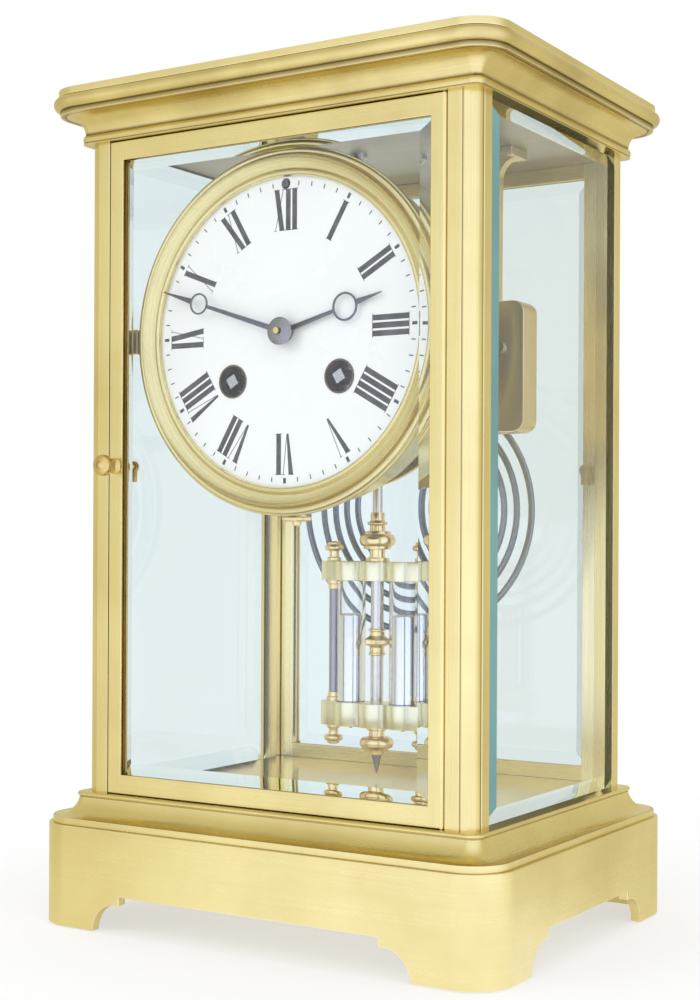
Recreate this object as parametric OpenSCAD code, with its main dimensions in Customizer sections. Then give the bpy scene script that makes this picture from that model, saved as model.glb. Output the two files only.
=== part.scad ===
// Crystal regulator clock: a glazed brass case on a moulded plinth, with two
// glazed doors, a two-train movement, a coil gong and a mercury pendulum.
// Millimetres. The origin lies under the middle of the plinth, +Z is up and
// the dial faces -Y. Inside the movement, places are [x, height] pairs that
// are measured from the dial centre.

/* [Case] */
// Width over the corner columns
body_w = 146; // [140:1:160]
// Depth over the corner columns
body_d = 110.4; // [108:0.2:124]
// Height of the columns and side glasses
glass_h = 215; // [206:1:230]
// Height of the plinth with its feet
plinth_h = 33; // [28:1:40]
// Wall of the hollow plinth
plinth_wall = 3.5; // [2.5:0.5:5]
// How far the plinth stands out beyond the columns
plinth_over = 12.2; // [11.4:0.2:15]
// Length of each foot along the plinth
foot_len = 26.2; // [22:0.2:32]
// Height of the opening between the feet
arch_h = 12; // [10:0.5:15]
// Radius of the hollow curve beside each foot
arch_curve = 9.2; // [6:0.2:9.6]
// Width of the small ledge above that curve
arch_ledge = 1.6; // [0.5:0.1:2]
// Height of the base moulding
base_h = 9.6; // [9:0.2:12]
// Height of the cornice moulding
cornice_h = 15; // [14.6:0.2:18]
// Thickness of the top plate
top_plate_t = 2.4; // [1.5:0.1:4]
// How far the top plate stands out beyond the columns
top_plate_over = 10.2; // [8:0.2:11]
// Rounding of the case corners under the mouldings
corner_r = 1.6; // [1:0.1:2.5]
// Side of the square corner columns
column_w = 9.7; // [9:0.1:11]
// Width of the flat fillets on each column
column_flat = 4.8; // [4:0.1:5.4]
// Depth of the step beside each flat fillet
column_step = 0.4; // [0.2:0.1:0.8]
// Thickness of the floor and ceiling plates
inner_plate_t = 1.4; // [0.8:0.1:2.5]
// Radius of the screws that hold the columns
column_screw_r = 2; // [1.5:0.1:2.5]

/* [Glass and doors] */
// Thickness of the glass plates
glass_t = 4.2; // [3:0.1:5]
// Width of the bevel around each glass
bevel_w = 6; // [3:0.2:9]
// Thickness of the glass at its bevelled edge
glass_edge = 1.8; // [1:0.1:2.6]
// Thickness of the door frames
door_t = 7; // [6.2:0.1:8]
// Width of the upright door stiles
stile_w = 5.3; // [5:0.1:7]
// Height of the door rails
rail_w = 6.2; // [5:0.1:8]
// Gap around each door
door_gap = 0.3; // [0.2:0.05:0.5]
// Depth of the groove that holds the glass
glass_groove = 1.5; // [1:0.1:2]
// Radius of the door pivot pins
hinge_pin_r = 0.7; // [0.6:0.05:0.8]
// Distance of the pivot axis from the door's front and edge
hinge_in = 1.3; // [1.2:0.05:1.6]
// Height of the door knobs above the base moulding
knob_z = 108; // [60:1:140]
// Radius of the knob head
knob_r = 3.4; // [2.5:0.1:4.5]

/* [Dial and hands] */
// Distance from the cornice down to the dial centre
dial_drop = 65.4; // [64:0.2:70]
// How far the bezel stands out beyond the drum
bezel_over = 3.6; // [3:0.1:4.2]
// Width of the bezel's face around the dial
bezel_face_w = 9.2; // [8.6:0.1:9.6]
// Thickness of the enamelled dial
dial_t = 1.4; // [1:0.1:1.8]
// Distance of the dial face behind the door front
dial_back = 11.8; // [11.6:0.1:13]
// Distance of the minute hand's tip from the bezel
minute_tip_in = 0; // [0:0.1:9]
// Distance of the hour hand's tip from the bezel
hour_tip_in = 11.4; // [9:0.1:20]
// Minute hand's place, degrees clockwise from twelve
minute_at = 288.5; // [0:0.5:359.5]
// Hour hand's place, degrees clockwise from twelve
hour_at = 74.5; // [0:0.5:359.5]
// Half the distance between the winding arbors
barrel_x = 20.2; // [20:0.1:21.5]
// Distance of the winding arbors below the dial centre
barrel_drop = 14.8; // [14:0.1:16]
// Radius of the winding holes in the dial
winding_hole_r = 5.2; // [4:0.1:5.5]
// Side of the winding squares
winding_square = 3.5; // [3:0.1:3.8]
// Distance of the regulator square from the bezel
regulator_in = 2.1; // [1.9:0.1:2.6]

/* [Movement] */
// Room between the movement plates and the drum
plate_room = 4; // [3:0.1:4.4]
// Thickness of the movement plates
plate_t = 2; // [1.6:0.1:2.4]
// Distance between the movement plates
plate_gap = 28; // [28:0.5:30]
// Distance of the front plate behind the dial face
under_dial = 8.5; // [8:0.1:9.5]
// Radius of the drum that carries the movement
drum_r = 54.5; // [54:0.1:55.2]
// Depth of the drum
drum_depth = 17; // [12:0.5:22]
// Wall of the drum
drum_wall = 1.5; // [1:0.1:2]
// Distance of the pillars from the rim of the plates
pillar_in = 5.7; // [5:0.1:6]
// Tooth module of the barrels
barrel_module = 0.42; // [0.41:0.005:0.43]
// Teeth of each barrel
barrel_teeth = 84; // [82:1:86]
// Leaves of the pinions that the barrels drive
barrel_leaves = 14; // [13:1:15]
// Tooth module of the intermediate wheels
inter_module = 0.4; // [0.39:0.005:0.41]
// Teeth of each intermediate wheel
inter_teeth = 72; // [70:1:74]
// Leaves of the pinions that the intermediate wheels drive
inter_leaves = 12; // [11:1:13]
// Tooth module of the centre wheel and the pin wheel
centre_module = 0.3; // [0.29:0.005:0.31]
// Teeth of the centre wheel
centre_teeth = 96; // [92:1:98]
// Teeth of the pin wheel
pin_teeth = 80; // [76:1:82]
// Tooth module of the third wheel and the locking wheel
third_module = 0.26; // [0.25:0.005:0.27]
// Teeth of the third wheel
third_teeth = 88; // [84:1:90]
// Teeth of the locking wheel
locking_teeth = 72; // [68:1:74]
// Tooth module of the warning wheel
warning_module = 0.24; // [0.23:0.005:0.25]
// Teeth of the warning wheel
warning_teeth = 64; // [60:1:66]
// Leaves of the small pinions
small_leaves = 8; // [8:1:9]
// Teeth of the escape wheel
escape_teeth = 36; // [30:1:40]
// Radius of the escape wheel at its tooth tips
escape_r = 9.2; // [8:0.1:9.6]
// Distance from the escape arbor up to the pallet arbor
pallet_up = 11; // [10.6:0.1:12]

/* [Pendulum] */
// Distance of the pendulum behind the back plate
pendulum_back = 16.8; // [14:0.1:17]
// Height of the pendulum's point above the floor plate
point_gap = 2.3; // [1.5:0.1:6]
// Height of the lower yoke above the point
yoke_up = 15.9; // [15:0.1:20]
// Thickness of the lower yoke
lower_yoke_t = 8.2; // [6:0.1:10]
// Thickness of the upper yoke
upper_yoke_t = 6.6; // [5:0.1:9]
// Length of the mercury jars
jar_len = 42.1; // [36:0.1:46]
// Outer radius of the mercury jars
jar_r = 5; // [4:0.1:5.4]
// Wall of the mercury jars
jar_wall = 0.9; // [0.6:0.1:1.4]
// Distance of the jars from the middle of the pendulum
jar_x = 10.5; // [10:0.1:11]
// Depth of the mercury in each jar
mercury_h = 29.7; // [20:0.1:34]
// Distance of the side rods from the middle of the pendulum
side_rod_x = 17.6; // [17.4:0.1:19]
// Radius of the side rods
side_rod_r = 1.65; // [1.2:0.05:1.8]
// Radius of the upper pendulum rod
rod_r = 1.7; // [1.3:0.1:2]

/* [Gong] */
// Radius of the gong's outer turn at its left side
gong_r = 44.6; // [42:0.1:46]
// Radius of the gong wire
gong_wire_r = 1.1; // [0.8:0.05:1.3]
// Distance between the turns of the gong
gong_pitch = 4.6; // [4.2:0.1:5.2]
// Turns of the gong
gong_turns = 5; // [3:1:6]
// Distance of the gong behind the pendulum
gong_back = 9.1; // [8.9:0.1:12]
// Distance from the cornice down to the gong centre
gong_drop = 120.1; // [118:0.1:123]
// Distance of the gong behind its bracket
gong_stand = 4.1; // [2:0.1:6]
// Width of the gong block
gong_block_w = 30; // [28:0.2:34]
// Height of the gong block
gong_block_h = 42.6; // [40:0.2:46]
// Thickness of the gong block
gong_block_t = 10; // [7:0.1:10.5]
// Distance of the gong block below the cornice
gong_block_drop = 53.2; // [51:0.2:55]

/* [Fits] */
// Running clearance around pivots and pins
play = 0.06; // [0.04:0.01:0.09]
// Clearance between pieces that are fixed together
seat = 0.05; // [0.02:0.01:0.1]
// Extra distance between meshing arbors
mesh_ease = 0.05; // [0:0.01:0.1]

/* [Hidden] */
$fn = 64;
over = 1;

// Finishes
brass = "#dcc878";
dark_brass = "#b99a4a";
steel = "#8d9094";
blued = "#2b2f3a";
enamel = "#f7f7f2";
clear_glass = "#cfe6ea80";
mercury_grey = "#c9ccd0";

// Levels of the case
base_z = plinth_h;
floor_z = base_z + base_h;
cornice_z = floor_z + glass_h;
top_z = cornice_z + cornice_h;
ceiling_z = cornice_z - inner_plate_t;
floor_top = floor_z + inner_plate_t;
half_w = body_w / 2;
half_d = body_d / 2;

// Doors
door_w = body_w - 2 * column_w - 2 * door_gap;
door_h = glass_h - 2 * door_gap;
front_y = -half_d;
hinge_x = door_w / 2 - hinge_in;
hinge_y = half_d - hinge_in;
hinge_pin_out = 4;
hinge_pin_in = 7;
glass_recess = 0.7;
knob_x = door_w / 2 - stile_w / 2;
knob_shaft_r = 1;

// Column screws
screw_in = 8;
column_mid = column_w / 2 + 0.6;
screw_x = half_w - column_mid;
screw_y = half_d - column_mid;
screw_head_r = 4;
screw_head_h = 2.6;
screw_low_z = plinth_h - plinth_wall - screw_head_h;

// Radii that follow the drum. The trains are drawn for a plate of drawn_plate_r and grow with it.
bezel_r = drum_r + bezel_over;
dial_show_r = bezel_r - bezel_face_w;
minute_len = dial_show_r - minute_tip_in;
hour_len = dial_show_r - hour_tip_in;
regulator_up = dial_show_r - regulator_in;
plate_r = drum_r - drum_wall - plate_room;
pillar_at = plate_r - pillar_in;
drawn_plate_r = 49;
calibre = plate_r / drawn_plate_r;

// Depths of the dial and the movement
dial_z = cornice_z - dial_drop;
dial_y = front_y + dial_back;
bezel_back_y = dial_y + 0.8;
plate_front_y = dial_y + under_dial;
inner_y = plate_front_y + plate_t;
back_plate_y = inner_y + plate_gap;
rear_y = back_plate_y + plate_t;
pendulum_y = rear_y + pendulum_back;
gong_y = pendulum_y + gong_back;

// Tooth outline: [height in modules, place in tooth pitches]
tooth = [[-1.15, -0.24], [0.85, -0.08], [0.85, 0.08], [-1.15, 0.24]];
tooth_top = 0.85;
tooth_root = 1.15;
cannon_leaves = 14;
minute_teeth = 42;
minute_leaves = 12;
hour_teeth = 48;
minute_module = 0.3 * calibre;
hour_module = minute_module * (cannon_leaves + minute_teeth) / (minute_leaves + hour_teeth);

barrel_m = barrel_module * calibre;
inter_m = inter_module * calibre;
centre_m = centre_module * calibre;
third_m = third_module * calibre;
warning_m = warning_module * calibre;
escape_tip_r = escape_r * calibre;
pallet_rise = pallet_up * calibre;

function polar(r, a) = r * [cos(a), sin(a)];
function direction(p, q) = atan2(q[1] - p[1], q[0] - p[0]);
function centres(m, n1, n2) = m * (n1 + n2) / 2 + mesh_ease;
function tip_r(n, m) = m * (n / 2 + tooth_top);
function root_r(n, m) = m * (n / 2 - tooth_root);
// The place at distance rp from p and rq from q, on the left hand from p to q for side 1
function meet(p, rp, q, rq, side) =
    let (d = norm(q - p), a = (rp * rp - rq * rq + d * d) / (2 * d), h = sqrt(rp * rp - a * a))
    p + a / d * (q - p) + side * h / d * [p[1] - q[1], q[0] - p[0]];
// Turn of a pinion at q that meshes with a wheel at p whose first tooth lies at angle 0
function mesh_turn(p, n1, q, n2) =
    let (t = direction(p, q)) t + 180 + (n1 * t - 180) / n2;

// Arbors of the going train, right of the dial centre as the owner sees it
centre_at = [0, 0];
going_at = calibre * [barrel_x, -barrel_drop];
inter_reach = centres(barrel_m, barrel_teeth, barrel_leaves);
inter_to_centre = centres(inter_m, inter_teeth, inter_leaves);
inter_at = meet(going_at, inter_reach, centre_at, inter_to_centre, -1);
third_at = polar(centres(centre_m, centre_teeth, small_leaves), 86);
escape_reach = centres(third_m, third_teeth, small_leaves);
escape_at = [0, third_at[1] + sqrt(escape_reach * escape_reach - third_at[0] * third_at[0])];
pallet_at = escape_at + [0, pallet_rise];

// Arbors of the strike train
hammer_reach = 14.6;
strike_at = [-going_at[0], going_at[1]];
strike_inter_at = [-inter_at[0], inter_at[1]];
pin_at = strike_inter_at + polar(inter_to_centre, 100);
locking_at = pin_at + polar(centres(centre_m, pin_teeth, small_leaves), 215);
warning_at = locking_at + polar(centres(third_m, locking_teeth, small_leaves), 255);
fly_at = warning_at + polar(centres(warning_m, warning_teeth, small_leaves), 195);
hammer_at = pin_at + polar(hammer_reach * calibre, 75);
minute_wheel_at = [0, -centres(minute_module, cannon_leaves, minute_teeth)];
regulator_at = [0, regulator_up];

// Arbor sizes
barrel_arbor_r = 2.2;
centre_arbor_r = 1;
inter_arbor_r = 1.2;
thin_arbor_r = 0.65;
pivot_r = 0.5;
end_shake = 0.2;
pallet_arbor_r = 0.9;
thin_pivots = [inter_at, strike_inter_at, third_at, escape_at, pin_at, locking_at, warning_at, fly_at];

// Depths of the wheels behind the front plate
centre_wheel_d = 1.5;
warning_wheel_d = 2.4;
barrel_front_d = 4.7;
escape_wheel_d = 6;
locking_wheel_d = 8;
third_wheel_d = 11;
pin_wheel_d = 15;
barrel_teeth_d = 19.5;
inter_wheel_d = 23.2;
strike_inter_d = 25.8;
wheel_t = 1.1;
barrel_teeth_t = 1.7;
leaf_len = 2.2;

// Drum, pillars and hands
drum_front_y = bezel_back_y;
drum_flange_t = 1.6;
drum_flange_r = plate_r - 1.6;
drum_stud_y = dial_y + 7;
lug_h = 8;
lug_t = 2.5;
lug_web_t = 1.6;
lug_clear = 0.4;
lug_head_r = 1.7;
lug_head_t = 1.2;
lug_x = half_w - column_w + 2.6;
pillar_angles = [38, 142, -55, -125];
pillar_r = 2.4;
pillar_stud_r = 1.5;
hand_t = 0.5;
hour_ring_in = 13.7;
hour_ring_r = 4.5;
hour_hub_r = 3.6;
minute_ring_in = 15.2;
minute_ring_r = 3.5;
minute_hub_r = 3;
hour_hand_y = dial_y - 1.6;
minute_hand_y = hour_hand_y - 1.4;
collet_t = 1.8;
collet_r = 4.4;
collet_dome_r = 8.1;
cannon_r = 1.5;
hour_pipe_r = 2.3;
minute_wheel_y = plate_front_y - 2.5;
hour_wheel_y = minute_wheel_y - 2.2;

// Pendulum levels
pendulum_top = dial_z + pallet_at[1];
point_z = floor_top + point_gap;
lower_yoke_z = point_z + yoke_up;
jar_z = lower_yoke_z + lower_yoke_t;
upper_yoke_z = jar_z + jar_len;
yoke_top = upper_yoke_z + upper_yoke_t;
core_r = 2.2;
point_len = 8;
crutch_len = 25;
strip_t = 0.3;
strip_w = 4;
strip_len = 11;

// Gong
gong_z = cornice_z - gong_drop;
gong_block_x = half_w - 31.5;
gong_x = gong_block_x - 31.5;
gong_block_top = cornice_z - gong_block_drop;
gong_block_z = gong_block_top - gong_block_h;
bracket_t = 3.5;
bracket_y = gong_y - gong_wire_r - gong_stand - bracket_t;
bracket_x = gong_block_x - 3.8;
bracket_flange_t = 3;
bracket_flange_w = 22.6;
bracket_stem_w = 9;
gong_screw_z = gong_block_top - 15;
gong_screw_xs = [bracket_x, bracket_x + 10];
gong_screw_r = 1.2;
gong_boss_r = 2.5;

// Outline in x and z, thick from y to y + t
module slab(y, t) translate([0, y + t, 0]) rotate([90, 0, 0]) linear_extrude(t) children();
module rod_y(y, len, r) slab(y, len) circle(r);
// Profile of radius and forward reach, turned about an axis along Y
module turned_y(y) translate([0, y, 0]) rotate([90, 0, 0]) rotate_extrude() children();
module at(p) translate([p[0], 0, dial_z + p[1]]) children();
module both_sides() {
    children();
    mirror([1, 0, 0]) children();
}
module rounded_rect(w, d, r) {
    square([w - 2 * r, d], center = true);
    square([w, d - 2 * r], center = true);
    for (x = [-1, 1], y = [-1, 1]) translate([x * (w / 2 - r), y * (d / 2 - r)]) circle(r);
}
module rear_side() rotate(180) children();

// A moulding that runs round the case: the children are its profile, measured from the corner centres
module edge_run(out, len) translate([out, len / 2, 0])
    rotate([90, 0, 0]) linear_extrude(len) children();
module moulded_block(w, d, r, h) {
    core_w = w - 2 * r;
    core_d = d - 2 * r;
    translate([-core_w / 2, -core_d / 2, 0]) cube([core_w, core_d, h]);
    for (turn = [0, 180]) rotate(turn) {
        edge_run(core_w / 2, core_d) children();
        rotate(90) edge_run(core_d / 2, core_w) children();
        translate([core_w / 2, core_d / 2, 0]) rotate_extrude(angle = 90) children();
        translate([-core_w / 2, core_d / 2, 0]) rotate(90) rotate_extrude(angle = 90) children();
    }
}

module at_columns() for (x = [-1, 1], y = [-1, 1]) translate([x * screw_x, y * screw_y, 0]) children();
module hinge_bores(z, len) for (turn = [0, 180]) rotate(turn) translate([hinge_x, -hinge_y, z])
    cylinder(r = hinge_pin_r + play, h = len);

// Case
module arch_outline(half) {
    open = half - foot_len;
    for (x = [-1, 1]) translate([x * (open - arch_curve), 0]) circle(arch_curve);
    square([2 * (open - arch_curve), 2 * arch_curve], center = true);
    translate([-(open - arch_curve - arch_ledge), -over])
        square([2 * (open - arch_curve - arch_ledge), arch_h + over]);
}
module plinth() {
    w = body_w + 2 * plinth_over;
    d = body_d + 2 * plinth_over;
    r = corner_r + plinth_over;
    color(brass) difference() {
        linear_extrude(plinth_h) rounded_rect(w, d, r);
        translate([0, 0, -over]) linear_extrude(plinth_h - plinth_wall + over)
            rounded_rect(w - 2 * plinth_wall, d - 2 * plinth_wall, r - plinth_wall);
        slab(-d, 2 * d) arch_outline(w / 2);
        rotate(90) slab(-w, 2 * w) arch_outline(d / 2);
        at_columns() cylinder(r = column_screw_r + seat, h = plinth_h + over);
    }
}
module base_profile() {
    low_out = plinth_over - 1.3;
    low_h = 2.2;
    hollow_r = 7.4;
    hollow_out = low_out - 1.5;
    hollow_top = base_h - 1.7;
    top_out = 2.8;
    lip_r = 0.7;
    difference() {
        square([corner_r + low_out - 0.7, hollow_top]);
        translate([corner_r + hollow_out, low_h + hollow_r - 0.04]) circle(hollow_r);
    }
    square([corner_r + low_out, low_h]);
    square([corner_r + top_out - lip_r, base_h]);
    translate([corner_r + top_out - lip_r, base_h - lip_r]) circle(lip_r);
}
module base_moulding() color(brass) difference() {
    translate([0, 0, base_z]) moulded_block(body_w, body_d, corner_r, base_h) base_profile();
    at_columns() translate([0, 0, base_z - over])
        cylinder(r = column_screw_r + seat, h = base_h + 2 * over);
    hinge_bores(floor_z - hinge_pin_out - over, hinge_pin_out + 2 * over);
}
module inner_plate(z) translate([0, 0, z]) linear_extrude(inner_plate_t)
    square([body_w - 2 * column_w - 4 * door_gap, body_d - 2 * door_t - 4 * door_gap], center = true);
module floor_plate() color(brass) inner_plate(floor_z);
module ceiling_plate() color(steel) difference() {
    inner_plate(ceiling_z);
    translate([0, 0, ceiling_z - over])
        cylinder(r = column_screw_r + seat, h = inner_plate_t + 2 * over);
}
module column_section() {
    inset = column_w - column_flat;
    difference() {
        square(column_w);
        square(inset);
    }
    translate([inset, inset]) circle(inset - column_step);
}
module column(lugged) difference() {
    translate([-half_w, -half_d, floor_z]) linear_extrude(glass_h) column_section();
    for (z = [floor_z - over, cornice_z - screw_in - over]) translate([-screw_x, -screw_y, z])
        cylinder(r = column_screw_r + seat, h = screw_in + 2 * over);
    if (lugged) translate([-lug_x, 0, dial_z]) rod_y(lug_y - 5, 5 + over, lug_screw_r + seat);
}
module columns() color(brass) {
    both_sides() column(true);
    rear_side() both_sides() column(false);
}
lug_y = front_y + column_w + seat;
lug_screw_r = 1.1;

// A glass plate with bevelled edges, its outer face at y = 0
module bevelled_glass(w, h) hull() {
    translate([-w / 2, glass_t - glass_edge, 0]) cube([w, glass_edge, h]);
    translate([bevel_w - w / 2, 0, bevel_w]) cube([w - 2 * bevel_w, glass_t, h - 2 * bevel_w]);
}
module side_glass() translate([half_w - column_step, 0, floor_z]) rotate(90)
    bevelled_glass(body_d - 2 * column_w - 2 * seat, glass_h);
module right_glass() color(clear_glass) side_glass();
module left_glass() color(clear_glass) rear_side() side_glass();

module cornice_profile() {
    bead_h = 3.3;
    bead_out = 2.05;
    hollow_r = 6.1;
    hollow_out = 7.3;
    hollow_z = bead_h - 0.4;
    nose_out = 8.6;
    nose_h = 1.4;
    nose_z = hollow_z + hollow_r;
    round_r = (cornice_h - nose_z - nose_h - 0.2) / 2;
    round_out = 11.8;
    difference() {
        square([corner_r + hollow_out + 0.3, nose_z + nose_h]);
        translate([corner_r + hollow_out, hollow_z]) circle(hollow_r);
        translate([corner_r + hollow_out, -over]) square([hollow_r, bead_h]);
    }
    square([corner_r + bead_out - bead_h / 2, bead_h]);
    translate([corner_r + bead_out - bead_h / 2, bead_h / 2]) circle(bead_h / 2);
    translate([0, nose_z]) square([corner_r + nose_out, nose_h]);
    translate([0, nose_z]) square([corner_r + round_out - round_r, cornice_h - nose_z]);
    translate([corner_r + round_out - round_r, cornice_h - round_r]) circle(round_r);
}
module cornice() color(brass) difference() {
    translate([0, 0, cornice_z]) moulded_block(body_w, body_d, corner_r, cornice_h) cornice_profile();
    at_columns() translate([0, 0, cornice_z - over])
        cylinder(r = column_screw_r + seat, h = cornice_h + 2 * over);
    at_columns() translate([0, 0, top_z - screw_head_h - seat])
        cylinder(r = screw_head_r + seat, h = cornice_h);
    translate([0, 0, cornice_z - over]) cylinder(r = column_screw_r + seat, h = cornice_h + 2 * over);
    hinge_bores(cornice_z - over, hinge_pin_out + 2 * over);
}
module top_plate() color(brass) translate([0, 0, top_z]) linear_extrude(top_plate_t)
    rounded_rect(body_w + 2 * top_plate_over, body_d + 2 * top_plate_over, corner_r + top_plate_over);

// Fasteners of the case: column screws, the top stud with its domed nut, lug screws and gong screws
module column_screw(z0, z1, head_z) {
    translate([0, 0, z0]) cylinder(r = column_screw_r, h = z1 - z0);
    translate([0, 0, head_z]) cylinder(r = screw_head_r, h = screw_head_h);
}
module domed_nut() rotate([180, 0, 0]) rotate_extrude() intersection() {
    square([3.2, 3]);
    translate([0, -0.8]) circle(3.6);
}
module case_screws() color(steel) {
    at_columns() column_screw(screw_low_z, floor_z + screw_in, screw_low_z);
    at_columns() column_screw(cornice_z - screw_in, top_z, top_z - screw_head_h);
    translate([0, 0, ceiling_z]) domed_nut();
    translate([0, 0, ceiling_z - over]) cylinder(r = column_screw_r, h = top_z - ceiling_z + over);
    for (x = [-1, 1]) at([x * lug_x, 0]) {
        rod_y(lug_y - 4.5, 4.5 + lug_t, lug_screw_r);
        rod_y(lug_y + lug_t, lug_head_t, lug_head_r);
    }
    for (x = gong_screw_xs) translate([x, 0, gong_screw_z]) {
        rod_y(bracket_y - gong_block_t - 1.2, 1.2, 2.2);
        rod_y(bracket_y - gong_block_t, gong_block_t + bracket_t, gong_screw_r);
    }
}

// Gong, its block and its bracket
module bracket_outline() {
    flare = (bracket_flange_w - bracket_stem_w) / 2;
    difference() {
        translate([-bracket_flange_w / 2, -flare]) square([bracket_flange_w, flare]);
        for (x = [-1, 1]) translate([x * bracket_flange_w / 2, -flare]) circle(flare);
    }
    translate([-bracket_stem_w / 2, -stem_len]) square([bracket_stem_w, stem_len]);
    translate([-bracket_stem_w / 2, -stem_len]) square([bracket_stem_w + 10, 14]);
}
stem_len = ceiling_z - bracket_flange_t - gong_block_top + 22;
module gong_screw_bores() for (x = gong_screw_xs) translate([x, 0, gong_screw_z])
    rod_y(bracket_y - gong_block_t - over, gong_block_t + bracket_t + 2 * over, gong_screw_r + seat);
module gong_bracket() color(brass) difference() {
    union() {
        translate([bracket_x, 0, ceiling_z - bracket_flange_t]) slab(bracket_y, bracket_t)
            bracket_outline();
        translate([bracket_x - bracket_flange_w / 2, bracket_y - 4, ceiling_z - bracket_flange_t])
            cube([bracket_flange_w, bracket_t + 8, bracket_flange_t]);
    }
    gong_screw_bores();
}
// The wire's end passes through a cross-drilled boss behind the block
module at_wire_end() {
    mid = (gong_path[0] + gong_path[1]) / 2;
    translate([gong_x + mid[0], 0, gong_z + mid[1]]) children();
}
module gong_block() color(brass) difference() {
    union() {
        translate([gong_block_x, 0, gong_block_z + gong_block_h / 2])
            slab(bracket_y - gong_block_t, gong_block_t)
            rounded_rect(gong_block_w, gong_block_h, 4);
        at_wire_end() rod_y(bracket_y - over, gong_y + 3 - bracket_y + over, gong_boss_r);
    }
    at_wire_end() translate([0, gong_y, 0]) rotate([0, -direction(gong_path[0], gong_path[1]), 0])
        rotate([0, 90, 0])
        cylinder(r = gong_wire_r + seat, h = 4 * gong_boss_r, center = true);
    gong_screw_bores();
}
gong_sides = 6;
gong_rings = 24;
gong_last = gong_rings * gong_turns;
gong_end = 52;
// How far the outer turn opens out towards the block
gong_open = 2.6;
// Middle of the wire, running anticlockwise and inwards from its outer end
function gong_reach(a) = let (turn = (a + gong_end - 180) / 360)
    gong_r - gong_pitch * turn - gong_open * (1 - exp(-2 * turn));
function gong_point(a) = polar(gong_reach(a), gong_end + a);
gong_path = [for (i = [0:gong_last]) gong_point(360 * i / gong_rings)];
function gong_ahead(i) = let (d = gong_path[min(gong_last, i + 1)] - gong_path[max(0,
    i - 1)]) d / norm(d);
gong_rim = [for (i = [0:gong_last], k = [0:gong_sides - 1])
    let (d = gong_ahead(i), a = 360 * (k + 0.5) / gong_sides)
    let (p = gong_path[i] + gong_wire_r * cos(a) * [d[1], -d[0]])
    [gong_x + p[0], gong_y + gong_wire_r * sin(a), gong_z + p[1]]];
function gong_quad(i, k) = let (a = i * gong_sides + k, b = i * gong_sides + (k + 1) % gong_sides)
    [[a, a + gong_sides, b], [b, a + gong_sides, b + gong_sides]];
gong_faces = concat(
    [for (i = [0:gong_last - 1], k = [0:gong_sides - 1], f = gong_quad(i, k)) f],
    [for (k = [1:gong_sides - 2]) [0, k, k + 1]],
    [for (k = [1:gong_sides - 2]) let (e = gong_last * gong_sides) [e, e + k + 1, e + k]]);
gong_least = min([for (i = [0:gong_last], j = [i + gong_rings / 2:1:gong_last])
    norm(gong_path[i] - gong_path[j])]) - 2 * gong_wire_r;
echo(least_gap_in_the_gong = gong_least);
module gong_coil() color(blued) polyhedron(gong_rim, gong_faces, convexity = 10);

// Drum, bezel and dial
module drum_lug() {
    inner = drum_r - drum_wall;
    step_x = bezel_r + lug_clear;
    translate([step_x, lug_y, dial_z - lug_h / 2]) cube([lug_x + 1.9 - step_x, lug_t, lug_h]);
    translate([step_x, lug_y, dial_z - lug_h / 2])
        cube([lug_web_t, drum_front_y + lug_t + 1 - lug_y, lug_h]);
    translate([inner, drum_front_y + 1, dial_z - lug_h / 2])
        cube([step_x + lug_web_t - inner, lug_t, lug_h]);
}
module drum() color(brass) difference() {
    union() {
        at(centre_at) difference() {
            rod_y(drum_front_y, drum_depth, drum_r);
            rod_y(drum_front_y - over, drum_depth + 2 * over, drum_r - drum_wall);
        }
        at(centre_at) difference() {
            rod_y(plate_front_y - drum_flange_t, drum_flange_t, drum_r - drum_wall / 2);
            rod_y(plate_front_y - drum_flange_t - over, drum_flange_t + 2 * over, drum_flange_r);
        }
        both_sides() drum_lug();
    }
    for (x = [-1, 1]) at([x * lug_x, 0]) rod_y(lug_y - over, lug_t + 2 * over, lug_screw_r + seat);
    at(regulator_at) rod_y(drum_front_y, under_dial + plate_t, 1.6);
    translate([0, drum_stud_y, dial_z - drum_r - over])
        cylinder(r = drum_stud_r + seat, h = drum_stud_in + over + seat);
}
drum_stud_r = 1.15;
drum_stud_in = 3;
module drum_thumb_nut() color(dark_brass) translate([0, drum_stud_y, dial_z - drum_r]) {
    rotate_extrude() polygon([[0, drum_stud_in], [drum_stud_r, drum_stud_in], [drum_stud_r, -3.4],
        [4.4, -3.4], [4.8, -3.8], [4.8, -4.8], [4.4, -5.2], [1.6, -5.2], [1.2, -6.6], [0, -6.8]]);
}
module top_hanger() color(brass) difference() {
    translate([-5, drum_front_y + 2, dial_z]) cube([10, 8, ceiling_z - dial_z]);
    at(centre_at) rod_y(drum_front_y, drum_depth, drum_r + seat);
}
module bezel_profile() {
    rim = drum_r - drum_wall - 0.9;
    bead = bezel_r - 1.5;
    crest = bead - 1.3;
    lip = dial_show_r + 1.1;
    difference() {
        union() {
            translate([rim, -0.8]) square([bezel_r - rim, 1.4]);
            translate([dial_show_r, 0]) square([bead - dial_show_r, 0.6]);
            translate([bead, 1]) circle(1.1);
            translate([lip, 0.9]) circle(0.9);
            difference() {
                translate([lip, 0]) square([crest - lip, 3]);
                translate([crest - 3.7, 4.6]) circle(4);
            }
        }
        translate([dial_show_r - over, -2 * over]) square([rim - dial_show_r + over, 2 * over]);
    }
}
module bezel() color(brass) at(centre_at) turned_y(dial_y) bezel_profile();
module dial() color(enamel) at(centre_at) difference() {
    rod_y(dial_y, dial_t, drum_r - drum_wall - 1);
    rod_y(dial_y - over, dial_t + 2 * over, 3);
    for (p = [going_at, strike_at]) translate([p[0], 0, p[1]])
        rod_y(dial_y - over, dial_t + 2 * over, winding_hole_r);
    translate([0, 0, regulator_up]) rod_y(dial_y - over, dial_t + 2 * over, 1.7);
}
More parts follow.
